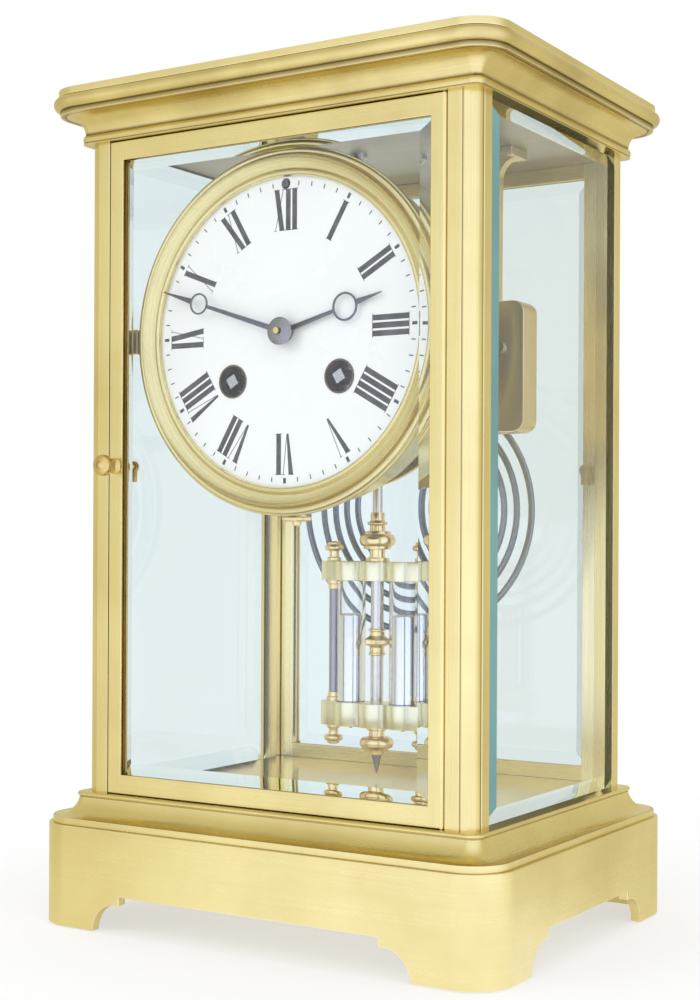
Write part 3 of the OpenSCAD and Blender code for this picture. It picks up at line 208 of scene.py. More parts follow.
@cache
def patina_group() -> Tree:
    """Soft clouds and small specks of age.

    Returns:
        A group with one mask from 0, clean, to 1, dull.
    """
    g = GroupNodes("patina", ["Vector"], ["Clouds", "Specks"], ["Mask"])
    at = g.takes["Vector"]
    clouds = g.noise({"Vector": at, "Scale": g.takes["Clouds"], "Detail": 4.0, "Roughness": 0.55})
    specks = g.noise({"Vector": at, "Scale": g.takes["Specks"], "Detail": 2.0})
    soft, dots = g.mapped(clouds, 0.0, 1.0, 0.42, 0.72), g.mapped(specks, 0.0, 0.5, 0.66, 0.78)
    g.feed(g.gives["Mask"], g.math("MAXIMUM", soft, dots))
    return g.tree


@cache
def turning_group() -> Tree:
    """Rings that a lathe leaves round an axis along Y.

    Returns:
        A group with the height of the rings.
    """
    g = GroupNodes("turning", ["Vector"], ["Pitch"], ["Height"])
    flat = g.vector("MULTIPLY", "Vector", g.takes["Vector"], (1.0, 0.0, 1.0))
    far = g.math("MULTIPLY", g.vector("LENGTH", "Value", flat), g.takes["Pitch"])
    g.feed(g.gives["Height"], g.noise({"W": far, "Scale": 1.0, "Detail": 2.0}, noise_dimensions="1D"))
    return g.tree


class ShaderNodes(Nodes):
    """The nodes of one material."""

    def __init__(self, material: bpy.types.Material) -> None:
        """Empties the material and starts with the object's own coordinates.

        Args:
            material: Material that gets the nodes.
        """
        material.use_nodes = True
        material.node_tree.nodes.clear()
        super().__init__(material.node_tree)
        self.coords = self.add("TexCoord").outputs["Object"]

    def group(self, tree: Tree, **values: object) -> bpy.types.NodeOutputs:
        """Places a shared group, on the object's own coordinates unless others are given."""
        return self.add("Group", {"Vector": self.coords, **values}, node_tree=tree).outputs

    def aged(self, mask: Socket, share: float, clean: object, dull: object) -> Socket:
        """Dulls a colour where a mask says so, up to a share."""
        return self.mixed(self.math("MULTIPLY", mask, share), clean, dull)

    def bump(self, height: Socket, strength: float, distance: float) -> Socket:
        """Turns a height into a normal; the distance is in metres."""
        return self.add("Bump", {"Height": height, "Strength": strength, "Distance": distance}).outputs["Normal"]

    def main(self, colour: Socket, values: dict[str, object]) -> Socket:
        """Adds the main shader with its colour and its other inputs."""
        return self.add("BsdfPrincipled", {"Base Color": colour, **values}).outputs["BSDF"]

    def surface(self, shader: Socket) -> None:
        """Gives the finished shader to the output."""
        self.add("OutputMaterial", {"Surface": shader})


# Finishes


class Finish:
    """A finish that makes its material once."""

    name: str

    @cache
    def material(self) -> bpy.types.Material:
        """Gives the finish's material, made at the first call.

        Returns:
            The material.
        """
        made = bpy.data.materials.new(self.name)
        self.build(ShaderNodes(made))
        return made

    def build(self, shader: ShaderNodes) -> None:
        """Fills the material's nodes; each finish has its own."""
        raise NotImplementedError


@dataclass(frozen=True)
class MetalFinish(Finish):
    """A brushed or polished metal with age, edges paler from wear and a painted highlight, and grime with painted
    shade in its creases.
    """

    name: str
    clean: Colour
    dull: Colour
    grain: Grain = Grain.LEVEL
    smooth: float = 0.24
    rough: float = 0.36
    age: float = 0.5
    # How much paler the rounded edges are: part wear, part painted highlight.
    edge_wear_and_highlight: float = 0.5
    bump_strength: float = 0.05
    bump_depth: float = 0.00005
    clouds: float = 22.0
    specks: float = 900.0
    metallic: float = 1.0
    # How far the creases are darkened: part grime, part painted shade.
    grime_and_shade: float = 0.0
    creep: float = 1.6

    def build(self, shader: ShaderNodes) -> None:
        """Brushes and dulls the metal, paler on its rounded edges from wear and a painted highlight, darker in
        its creases from grime and painted shade.

        Args:
            shader: Nodes of the material.
        """
        brushed = shader.group(brushing_group(), Stretch=self.grain.value)
        patina = shader.group(patina_group(), Clouds=self.clouds, Specks=self.specks)
        edge, crease = (shader.add("Attribute", attribute_name=a).outputs["Fac"] for a in (EDGE, CREASE))
        aged = shader.aged(patina["Mask"], self.age, self.clean, self.dull)
        streaked = shader.mixed(shader.mapped(brushed["Tone"], 0.0, 0.35 * self.age), aged, self.dull)
        # Rounded edges turn paler and whiter: part wear, part painted highlight.
        pale = tuple(min(1.0, 0.7 * c + 0.3) for c in self.clean)
        worn_and_highlit = shader.aged(edge, self.edge_wear_and_highlight, streaked, pale)
        # Creases darkened towards one colour: grime together with painted shade.
        grimed_and_shaded = shader.aged(shader.math("POWER", crease, self.creep), self.grime_and_shade, worn_and_highlit, GRIME_AND_SHADE)
        shader.surface(shader.main(grimed_and_shaded, {
            "Metallic": self.metallic,
            "Roughness": shader.mapped(brushed["Tone"], self.smooth, self.rough),
            "Normal": shader.bump(brushed["Height"], self.bump_strength, self.bump_depth),
        }))


@dataclass(frozen=True)
class TurnedFinish(Finish):
    """A metal turned on a lathe round an axis along Y."""

    name: str
    clean: Colour
    dull: Colour
    centre: Place
    pitch: float = 2600.0
    smooth: float = 0.18
    rough: float = 0.3
    age: float = 0.4

    def build(self, shader: ShaderNodes) -> None:
        """Rings round the centre, with some age.

        Args:
            shader: Nodes of the material.
        """
        middle = tuple(-MM * c for c in self.centre)
        place = shader.add("Mapping", {"Location": middle, "Vector": shader.coords}, vector_type="POINT")
        rings = shader.group(turning_group(), Vector=place.outputs["Vector"], Pitch=self.pitch)["Height"]
        patina = shader.group(patina_group(), Clouds=30.0, Specks=1100.0)
        aged = shader.aged(patina["Mask"], self.age, self.clean, self.dull)
        ringed = shader.mixed(shader.mapped(rings, 0.0, 0.25), aged, self.dull)
        shader.surface(shader.main(ringed, {
            "Metallic": 1.0,
            "Roughness": shader.mapped(rings, self.smooth, self.rough),
            "Normal": shader.bump(rings, 0.1, 0.00005),
        }))


@dataclass(frozen=True)
class EnamelFinish(Finish):
    """Fired white enamel with a faint waviness."""

    name: str
    clean: Colour = (0.93, 0.93, 0.925)
    shade: Colour = (0.9, 0.905, 0.9)

    def build(self, shader: ShaderNodes) -> None:
        """Clouds the white and gives it a glassy coat.

        Args:
            shader: Nodes of the material.
        """
        patina = shader.group(patina_group(), Clouds=40.0, Specks=500.0)
        wavy = shader.group(brushing_group(), Stretch=(60.0, 60.0, 60.0))
        shader.surface(shader.main(shader.aged(patina["Mask"], 0.5, self.clean, self.shade), {
            "Metallic": 0.0, "Coat Roughness": 0.06, "Coat Weight": 0.35, "Specular IOR Level": 0.4,
            "Roughness": shader.mapped(wavy["Tone"], 0.2, 0.32),
            "Normal": shader.bump(wavy["Height"], 0.04, 0.0001),
        }))


@dataclass(frozen=True)
class InkFinish(Finish):
    """Fired dial paint, thinner in places."""

    name: str
    deep: Colour
    thin: Colour

    def build(self, shader: ShaderNodes) -> None:
        """Varies the paint's depth over the strokes.

        Args:
            shader: Nodes of the material.
        """
        patina = shader.group(patina_group(), Clouds=240.0, Specks=2200.0)
        wavy = shader.group(brushing_group(), Stretch=(300.0, 300.0, 300.0))
        shader.surface(shader.main(shader.mixed(patina["Mask"], self.deep, self.thin), {
            "Metallic": 0.0, "Specular IOR Level": 0.35,
            "Roughness": shader.mapped(wavy["Tone"], 0.3, 0.45),
            "Normal": shader.bump(wavy["Height"], 0.05, 0.00005),
        }))


@dataclass(frozen=True)
class GlassFinish(Finish):
    """Old plate glass that lets lamps shine through."""

    name: str
    tint: Colour
    edge_tint: Colour
    wave: float = 0.0
    # Colour of a painted glow, as of light piped along the glass, though the glass is no lamp.
    glow: Optional[Colour] = None

    def build(self, shader: ShaderNodes) -> None:
        """Tints the glass a little unevenly, makes its shadow light, and paints any glow on faces seen square on.

        Args:
            shader: Nodes of the material.
        """
        mask = shader.group(patina_group(), Clouds=14.0, Specks=300.0)["Mask"]
        values: dict[str, object] = {"Metallic": 0.0, "Roughness": 0.0, "IOR": 1.5, "Transmission Weight": 1.0}
        if self.wave:
            wavy = shader.group(brushing_group(), Stretch=(30.0, 30.0, 9.0))
            values["Normal"] = shader.bump(wavy["Height"], self.wave, 0.0002)
        # Painted glow: emission standing in for light piped along the glass to its edge.
        if self.glow:
            turned = shader.mapped(shader.add("LayerWeight").outputs["Facing"], 1.0, 0.0, 0.3, 0.6)
            lit = shader.mixed(mask, self.glow, tuple(0.72 * c for c in self.glow))
            values.update({"Emission Strength": 1.0, "Emission Color": shader.mixed(turned, BLACK, lit)})
        glass = shader.main(shader.aged(mask, 0.4, self.tint, self.edge_tint), values)
        clear = shader.add("BsdfTransparent", {"Color": self.tint}).outputs["BSDF"]
        path = shader.add("LightPath").outputs
        lamp_ray = shader.math("MAXIMUM", path["Is Shadow Ray"], path["Is Diffuse Ray"])
        shader.surface(shader.add("MixShader", {0: lamp_ray, 1: glass, 2: clear}).outputs["Shader"])


BRASS = (0.87, 0.745, 0.325)
BRASS_DULL = (0.65, 0.515, 0.19)
BRASS_PALE = (0.97, 0.92, 0.58)
# The next two are brass darkened for the front door's rebate: painted shade.
BRASS_SHADED = (0.60, 0.40, 0.13)
BRASS_DEEP_SHADE = (0.36, 0.22, 0.07)
# Colour of the crease darkening: grime together with painted shade.
GRIME_AND_SHADE = (0.17, 0.12, 0.045)
STEEL = (0.56, 0.57, 0.575)
STEEL_DULL = (0.36, 0.365, 0.37)
BACKDROP = (0.82, 0.915, 0.935)
WHITE = (1.0, 1.0, 1.0)
BLACK = (0.0, 0.0, 0.0)

CASE_BRASS = MetalFinish("case_brass", BRASS, BRASS_DULL)
BASE_BRASS = MetalFinish("base_brass", BRASS, BRASS_DULL, grime_and_shade=0.6)
CORNICE_BRASS = MetalFinish(
    "cornice_brass", (0.87, 0.73, 0.31), (0.52, 0.4, 0.135), age=0.75, grime_and_shade=1.0, creep=0.9)
COLUMN_BRASS = MetalFinish("column_brass", BRASS, BRASS_DULL, Grain.UPRIGHT, 0.2, 0.34, grime_and_shade=0.8)
STILE_BRASS = MetalFinish("stile_brass", BRASS, BRASS_DULL, Grain.UPRIGHT, 0.2, 0.34)
# Paler copy of the brass for the rear door, seen through the glass: painted light in place of the light the glass
# keeps off.
REAR_BRASS_PAINTED_LIGHT = MetalFinish("rear_brass_painted_light", (0.99, 0.91, 0.52), BRASS, Grain.UPRIGHT, 0.2, 0.34, age=0.3)
DOOR_BRASS = MetalFinish("door_brass", BRASS, BRASS_DULL, Grain.LEVEL, 0.22, 0.34)
FLOOR_BRASS = MetalFinish(
    "floor_brass", (0.84, 0.74, 0.36), BRASS_DULL, Grain.ALONG_X, 0.1, 0.2, bump_strength=0.06)
WHEEL_BRASS = MetalFinish("wheel_brass", BRASS, BRASS_DULL, Grain.CLOUDED, 0.2, 0.3, specks=1600.0)
BLOCK_BRASS = MetalFinish("block_brass", (0.9, 0.76, 0.4), (0.62, 0.48, 0.23), Grain.UPRIGHT, 0.25, 0.38)
# Paler copy of the brass for the pendulum behind the glass: painted light.
PENDULUM_BRASS_PAINTED_LIGHT = MetalFinish(
    "pendulum_brass_painted_light", (0.96, 0.93, 0.62), BRASS_PALE, Grain.LEVEL, 0.26, 0.38, age=0.3, grime_and_shade=0.3)
ORNAMENT_BRASS = MetalFinish("ornament_brass", (0.95, 0.78, 0.4), (0.66, 0.48, 0.2), Grain.LEVEL, 0.16, 0.26)
KNOB_BRASS = MetalFinish("knob_brass", (0.76, 0.58, 0.21), (0.5, 0.34, 0.11), Grain.CLOUDED, 0.18, 0.3, age=0.6)
# Dark brass on the front pane's edge faces in the rebate: painted shade.
RECESS_BRASS_PAINTED_SHADE = MetalFinish("recess_brass_painted_shade", BRASS_SHADED, BRASS_DEEP_SHADE, Grain.CLOUDED, 0.24, 0.4, age=0.8)
SIDE_STEEL = MetalFinish("side_steel", (0.4, 0.4, 0.4), (0.26, 0.26, 0.26), Grain.UPRIGHT, 0.24, 0.36)
POINT_STEEL = MetalFinish("point_steel", (0.3, 0.3, 0.31), (0.2, 0.2, 0.21), Grain.CLOUDED, 0.26, 0.38)
STEEL_ROD = MetalFinish("steel_rod", (0.76, 0.72, 0.66), (0.55, 0.52, 0.47), Grain.UPRIGHT, 0.16, 0.28)
STEEL_WORK = MetalFinish("steel_work", STEEL, STEEL_DULL, Grain.CLOUDED, 0.2, 0.32)
HAND_STEEL = MetalFinish(
    "hand_steel", (0.12, 0.126, 0.14), (0.072, 0.075, 0.086), Grain.CLOUDED, 0.25, 0.4, metallic=0.85)
COLLET_STEEL = MetalFinish(
    "collet_steel", (0.37, 0.37, 0.35), (0.2, 0.19, 0.175), Grain.CLOUDED, 0.18, 0.3, age=0.6)
# Very dark brown for the winding-hole eyelets: painted shade of the holes.
HOLE_EYELET_SHADE = MetalFinish("hole_eyelet_shade", (0.2, 0.165, 0.1), (0.09, 0.075, 0.05), Grain.CLOUDED, 0.3, 0.42)
GONG_STEEL = MetalFinish(
    "gong_steel", (0.2, 0.24, 0.28), (0.12, 0.14, 0.165), Grain.CLOUDED, 0.16, 0.26, bump_strength=0.02)
CEILING_STEEL = MetalFinish(
    "ceiling_steel", (0.5, 0.5, 0.46), (0.36, 0.35, 0.31), Grain.ALONG_X, 0.26, 0.4, bump_strength=0.2)
MERCURY = MetalFinish(
    "mercury", (0.86, 0.87, 0.88), (0.74, 0.75, 0.76), Grain.CLOUDED, 0.08, 0.14, bump_strength=0.01)
DIAL_ENAMEL = EnamelFinish("dial_enamel")
DIAL_INK = InkFinish("dial_ink", (0.045, 0.048, 0.055), (0.1, 0.105, 0.115))
PLATE_GLASS = GlassFinish("plate_glass", (0.965, 0.982, 0.985), (0.955, 0.978, 0.98), wave=0.012)
BEVEL_GLASS = GlassFinish("bevel_glass", (0.9, 0.95, 0.95), (0.86, 0.93, 0.93))
DEEP_GLASS = GlassFinish("deep_glass", (0.72, 0.83, 0.83), (0.66, 0.78, 0.78))
# Glass of the right pane's upright bevel, with a painted teal glow.
GLOWING_EDGE_GLASS = GlassFinish("edge_glass_painted_glow", (0.7, 0.86, 0.855), (0.6, 0.8, 0.78), glow=(0.17, 0.36, 0.345))
JAR_GLASS = GlassFinish("jar_glass", (0.97, 0.98, 0.98), (0.96, 0.975, 0.98))


# Shaping, in millimetres


@dataclass(frozen=True)
class Bulge:
    """A half-round stretch of a turned profile."""

    low: float
    high: float
    neck: float
    reach: float

    def points(self, parts: int = 10) -> list[Point]:
        """Gives the bulge's points from its low end to its high end.

        Args:
            parts: Steps of the half round.

        Returns:
            Points of radius and height.
        """
        mid, half = (self.low + self.high) / 2, (self.high - self.low) / 2
        angles = [math.pi * i / parts for i in range(parts + 1)]
        return [(self.neck + (self.reach - self.neck) * math.sin(a), mid - half * math.cos(a)) for a in angles]


Profile = Sequence[Point | Bulge]


def settle(bm: Mesh) -> Mesh:
    """Merges doubles and turns the faces outwards.

    Args:
        bm: Mesh to change.

    Returns:
        The same mesh.
    """
    bmesh.ops.remove_doubles(bm, verts=bm.verts, dist=1e-4)
    bmesh.ops.recalc_face_normals(bm, faces=bm.faces)
    return bm


def copied(node: str) -> Mesh:
    """Copies a CAD node and merges its loose triangles.

    Args:
        node: Name of the CAD node.

    Returns:
        The copy, in millimetres.
    """
    bm = bmesh.new()
    bm.from_mesh(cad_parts[node].data)
    bmesh.ops.scale(bm, vec=(1 / MM,) * 3, verts=bm.verts)
    bmesh.ops.remove_doubles(bm, verts=bm.verts, dist=1e-3)
    bmesh.ops.dissolve_limit(bm, angle_limit=math.radians(0.5), verts=bm.verts, edges=bm.edges)
    return bm


def soften(bm: Mesh, offset: float, shortest: float, angle: float = 32.0) -> Mesh:
    """Rounds the sharp edges that are long enough and marks the new faces, for wear and a painted highlight, and
    the vertices of hollow edges, for grime and painted shade.

    Args:
        bm: Mesh to change.
        offset: Size of the rounding.
        shortest: Edges shorter than this stay sharp.
        angle: Edges flatter than this stay as they are.

    Returns:
        The same mesh.
    """
    # Rounded faces are marked for the paler edges of wear and painted highlight.
    rounded = bm.faces.layers.float.new(EDGE)
    hollow = bm.verts.layers.float.new(CREASE)
    limit = math.radians(angle)
    sharp = []
    for edge in bm.edges:
        bend = edge.calc_face_angle_signed(0.0) if edge.is_manifold else 0.0
        # Hollow edges mark their vertices for the grime and painted shade in creases.
        if bend < -limit:
            for vert in edge.verts:
                vert[hollow] = 1.0
        if bend > limit and edge.calc_length() > shortest:
            sharp.append(edge)
    made = bmesh.ops.bevel(
        bm, geom=sharp, offset=offset, offset_type="OFFSET", affect="EDGES", segments=2, profile=0.5,
        material=-1, clamp_overlap=False,
    )
    for face in made["faces"]:
        face[rounded] = 1.0
    return bm


def spun(points: Iterable[Point], steps: int, closed: bool = False) -> Mesh:
    """Spins a profile of radius and height about the Z axis.

    Args:
        points: The profile, from one end to the other.
        steps: Steps of the full turn.
        closed: Whether the profile's last point joins its first.

    Returns:
        The turned mesh.
    """
    bm = bmesh.new()
    verts = [bm.verts.new((r, 0.0, z)) for r, z in points]
    pairs = list(zip(verts, verts[1:])) + ([(verts[-1], verts[0])] if closed else [])
    edges = [bm.edges.new(pair) for pair in pairs]
    bmesh.ops.spin(
        bm, geom=verts + edges, cent=(0, 0, 0), axis=(0, 0, 1), angle=math.tau, steps=steps, use_merge=True,
    )
    return settle(bm)


def arc(r: float, z: float, radius: float, start: float, end: float, step: float = 13.0) -> list[Point]:
    """Gives the points of an arc in a profile.

    Args:
        r: Middle of the arc, from the axis.
        z: Middle of the arc, along the axis.
        radius: Radius of the arc.
        start: First angle in degrees.
        end: Last angle in degrees.
        step: Largest angle between two points.

    Returns:
        The arc's points.
    """
    parts = max(2, math.ceil(abs(end - start) / step))
    angles = [math.radians(start + (end - start) * i / parts) for i in range(parts + 1)]
    return [(r + radius * math.cos(a), z + radius * math.sin(a)) for a in angles]


def drawn(profile: Profile) -> list[Point]:
    """Lists the points of a turned profile, with its bulges as arcs."""
    return [p for part in profile for p in (part.points() if isinstance(part, Bulge) else [part])]


def mill(bm: Mesh, reach: float, count: int, y: float = 0.0, depth: float = 0.045) -> None:
    """Mills a turned rim: every second column of its vertices is drawn in.

    Args:
        bm: Turned mesh with two columns of vertices for each ridge.
        reach: Vertices farther out than this are milled.
        count: Ridges round the rim.
        y: Place of the upright axis in depth.
        depth: Share of the radius that is drawn in.
    """
    low = [
        v for v in bm.verts if math.hypot(v.co.x, v.co.y - y) > reach
        and round(math.atan2(v.co.y - y, v.co.x) / math.tau * 2 * count) % 2
    ]
    bmesh.ops.scale(bm, vec=(1 - depth, 1 - depth, 1), space=Matrix.Translation((0, -y, 0)), verts=low)


def rotated(bm: Mesh, degrees: float, axis: str) -> Mesh:
    """Turns a mesh about an axis through the origin.

    Args:
        bm: Mesh to turn.
        degrees: Angle of the turn.
        axis: Letter of the axis.

    Returns:
        The same mesh.
    """
    turn = Matrix.Rotation(math.radians(degrees), 3, axis)
    bmesh.ops.rotate(bm, cent=(0, 0, 0), matrix=turn, verts=bm.verts)
    return bm


def placed(bm: Mesh, at: Place, axis: Axis = Axis.UP) -> Mesh:
    """Turns a mesh from the Z axis to its axis and moves it to its place.

    Args:
        bm: Mesh to move.
        at: Place of the mesh's origin.
        axis: Direction that the mesh's Z axis points in.

    Returns:
        The same mesh.
    """
    if axis is Axis.FRONT:
        rotated(bm, 90, "X")
    bmesh.ops.translate(bm, vec=at, verts=bm.verts)
    return bm


def sliced(bm: Mesh, at: Place, normal: Place, trim: bool) -> Mesh:
    """Slices a mesh with a plane.

    Args:
        bm: Mesh to slice.
        at: A point of the plane.
        normal: Direction of the plane.
        trim: Whether the far side goes and the cut is closed.

    Returns:
        The same mesh.
    """
    whole = [*bm.verts, *bm.edges, *bm.faces]
    cut = bmesh.ops.bisect_plane(bm, geom=whole, plane_co=at, plane_no=normal, clear_outer=trim)
    if trim:
        rim = [e for e in cut["geom_cut"] if isinstance(e, bmesh.types.BMEdge)]
        bmesh.ops.edgeloop_fill(bm, edges=rim)
    return bm


def joined(parts: Iterable[Mesh]) -> Mesh:
    """Gathers several meshes in one.

    Args:
        parts: Meshes to gather; they are freed.

    Returns:
        One mesh that holds them all.
    """
    whole = bmesh.new()
    for part in parts:
        scratch = bpy.data.meshes.new("scratch")
        part.to_mesh(scratch)
        part.free()
        whole.from_mesh(scratch)
        bpy.data.meshes.remove(scratch)
    return whole


def in_scene(name: str, data: bpy.types.ID) -> bpy.types.Object:
    """Puts a new object in the scene.

    Args:
        name: Name of the object.
        data: Its mesh, curve, lamp or camera.

    Returns:
        The object.
    """
    made = bpy.data.objects.new(name, data)
    bpy.context.scene.collection.objects.link(made)
    return made


def piece(
    name: str, bm: Mesh, body: str, finishes: Sequence[Finish],
    stands_for: Sequence[str] = (), sharp: float = 30.0, even: bool = False,
) -> None:
    """Finishes a mesh as an object that rides on a body.

    Args:
        name: Name of the piece.
        bm: The mesh, in millimetres; it is freed.
        body: Body that the piece rides on.
        finishes: One finish for each material index.
        stands_for: CAD nodes that the piece replaces.
        sharp: Edges sharper than this angle stay sharp in the shading.
        even: Whether flat faces keep an even shading beside rounded edges.
    """
    bmesh.ops.scale(bm, vec=(MM, MM, MM), verts=bm.verts)
    mesh = bpy.data.meshes.new(name)
    bm.to_mesh(mesh)
    bm.free()
    for finish in finishes:
        mesh.materials.append(finish.material())
    mesh.polygons.foreach_set("use_smooth", [True] * len(mesh.polygons))
    mesh.set_sharp_from_angle(angle=math.radians(sharp))
    made = in_scene(name, mesh)
    if even:
        made.modifiers.new("even_shading", "WEIGHTED_NORMAL").keep_sharp = True
    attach(made, body)
    if stands_for:
        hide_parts(*stands_for)
    log.info("%s rides on %s, %d faces", name, body, len(mesh.polygons))


def dress(finish: Finish, *nodes: str) -> None:
    """Gives CAD nodes a finish.

    Args:
        finish: The finish.
        nodes: Names of the CAD nodes.
    """
    for node in nodes:
        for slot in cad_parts[node].material_slots:
            slot.material = finish.material()
        log.info("%s keeps its CAD shape", node)


# Sub-assemblies


@dataclass
class CaseShell:
    """Plinth, mouldings, columns and plates of the case."""

    edge_round: float = 0.32
    fine_round: float = 0.2
    shortest: float = 0.6
    column_shortest: float = 20.0
    bracket_shortest: float = 1.0
    block_shortest: float = 0.3

    def build(self) -> None:
        """Builds the case's visible brass."""
        for node, offset, shortest, finish in (
            ("plinth", self.edge_round, self.shortest, CASE_BRASS),
            ("base_moulding", self.fine_round, self.shortest, BASE_BRASS),
            ("cornice", self.fine_round, self.shortest, CORNICE_BRASS),
            ("top_plate", self.edge_round, self.shortest, CASE_BRASS),
            ("columns", self.fine_round, self.column_shortest, COLUMN_BRASS),
            ("gong_bracket", self.edge_round, self.bracket_shortest, BLOCK_BRASS),
            ("gong_block", self.edge_round, self.block_shortest, BLOCK_BRASS),
        ):
            bm = soften(copied(node), offset, shortest)
            piece(f"{node}_shell", bm, "case", [finish], [node], even=True)
        dress(FLOOR_BRASS, "floor_plate")
        dress(CEILING_STEEL, "ceiling_plate")
        dress(STEEL_WORK, "case_screws")


@dataclass(frozen=True)
class BevelledPane:
    """One glass plate with bevelled edges on its outer side."""

    width: float
    height: float
    thick: float = 4.2
    bevel: float = 7.6
    edge: float = 1.8
    hidden: float = 0.0

    def mesh(self) -> Mesh:
        """Shapes the plate.

        Returns:
            The plate, standing on z = 0 with its outer face at y = 0.
        """
        bm = bmesh.new()
        bmesh.ops.create_cube(bm, size=1.0)
        bmesh.ops.scale(bm, vec=(self.width, self.edge, self.height), verts=bm.verts)
        placed(bm, (0, self.thick - self.edge / 2, self.height / 2))
        outer = min(bm.faces, key=lambda f: f.calc_center_median().y)
        for face in bm.faces:
            face.material_index = PaneFace.PLATE if abs(face.normal.y) > 0.5 else PaneFace.EDGE
        step = (self.edge - self.thick) / self.bevel
        for reach in (self.hidden, self.bevel - self.hidden):
            if not reach:
                continue
            ring = bmesh.ops.inset_individual(bm, faces=[outer], thickness=reach, depth=0.0)
            bmesh.ops.translate(bm, vec=(0, step * reach, 0), verts=outer.verts)
            for face in ring["faces"]:
                left = face.calc_center_median().x < -0.4 * self.width
                shown = PaneFace.LEFT_BEVEL if left else PaneFace.BEVEL
                face.material_index = PaneFace.EDGE if reach == self.hidden else shown
        outer.material_index = PaneFace.PLATE
        bmesh.ops.recalc_face_normals(bm, faces=bm.faces)
        return bm


@dataclass
class SideGlazing:
    """The two fixed side panes."""

    out: float = 72.6
    floor_z: float = 42.6
    pane: BevelledPane = BevelledPane(90.9, 215.0)

    def build(self) -> None:
        """Places a pane on each side."""
        for name, turn, x, upright in (
            # The right pane's upright bevel takes the glass with the painted glow.
            ("right", 90, self.out, GLOWING_EDGE_GLASS), ("left", 270, -self.out, BEVEL_GLASS),
        ):
            bm = placed(rotated(self.pane.mesh(), turn, "Z"), (x, 0, self.floor_z))
            glass = [PLATE_GLASS, BEVEL_GLASS, upright, BEVEL_GLASS]
            piece(f"{name}_pane", bm, "case", glass, [f"{name}_glass"], sharp=3.0)


@dataclass
class Door:
    """A glazed door with its knob."""

    side: str = "front"
    turn: float = 0.0
    pane: BevelledPane = BevelledPane(118.3, 204.9, hidden=1.4)
    pane_at: Place = (0, -54.5, 47.65)
    stile_in: float = 57.7
    edge_round: float = 0.22
    shortest: float = 20.0
    knob_at: Place = (-60.35, -55.2, 150.6)
    knob_gap: float = 0.05
    knob_profile: Sequence[Point] = (
        (0.0, 0.1), (2.6, 0.1), (2.6, 0.7), (2.2, 1.1), (1.6, 1.7), (1.45, 2.6), (1.55, 3.6), (2.1, 4.3),
        (2.9, 4.7), (3.25, 5.0), (3.4, 5.4), (3.4, 6.2), (3.4, 7.0), (3.3, 7.4), (2.8, 7.85), (1.9, 8.1),
        (1.0, 8.25), (0.95, 8.6), (0.0, 8.7),
    )
    knurl_in: float = 3.3
    knurls: int = 40

    def turned(self, bm: Mesh) -> Mesh:
        """Turns a front piece to this door's side of the case."""
        return rotated(bm, self.turn, "Z")

    def knob(self) -> Mesh:
        """Turns the knob and mills its rim.

        Returns:
            The knob in its place, with the latch finger and shaft behind it.
        """
        bm = spun(self.knob_profile, 2 * self.knurls)
        mill(bm, self.knurl_in, self.knurls)
        knob = self.turned(placed(bm, self.knob_at, Axis.FRONT))
        outward = 1.0 if self.turn else -1.0
        back = outward * -(self.knob_at[1] + self.knob_gap)
        latch = sliced(copied(f"{self.side}_knob"), (0, back, 0), (0, outward, 0), trim=True)
        return joined([knob, latch])

    def build(self) -> None:
        """Builds the frame, the pane and the knob."""
        body = f"{self.side}_door"
        bm = soften(copied(f"{self.side}_door_frame"), self.edge_round, self.shortest)
        for x in (-self.stile_in, self.stile_in):
            sliced(bm, (x, 0, 0), (1, 0, 0), trim=False)
        for face in bm.faces:
            face.material_index = 1 if abs(face.calc_center_median().x) > self.stile_in else 0
        # The rear door's stiles take the paler brass, painted light.
        brass = [DOOR_BRASS, REAR_BRASS_PAINTED_LIGHT if self.turn else STILE_BRASS]
        piece(f"{body}_shell", bm, body, brass, [f"{self.side}_door_frame"], even=True)
        bm = self.turned(placed(self.pane.mesh(), self.pane_at))
        glass = [PLATE_GLASS, BEVEL_GLASS]
        # The pane's edge faces show the rebate: painted shade on the front door, painted light on the rear.
        glass += [DEEP_GLASS, REAR_BRASS_PAINTED_LIGHT] if self.turn else [BEVEL_GLASS, RECESS_BRASS_PAINTED_SHADE]
        piece(f"{self.side}_pane", bm, body, glass, [f"{self.side}_glass"], sharp=3.0)
        knob, latch = f"{self.side}_knob", f"{self.side}_latch"
        piece(f"{self.side}_turn_knob", self.knob(), latch, [KNOB_BRASS], [knob])
        dress(STEEL_WORK, f"{self.side}_hinge_pins")


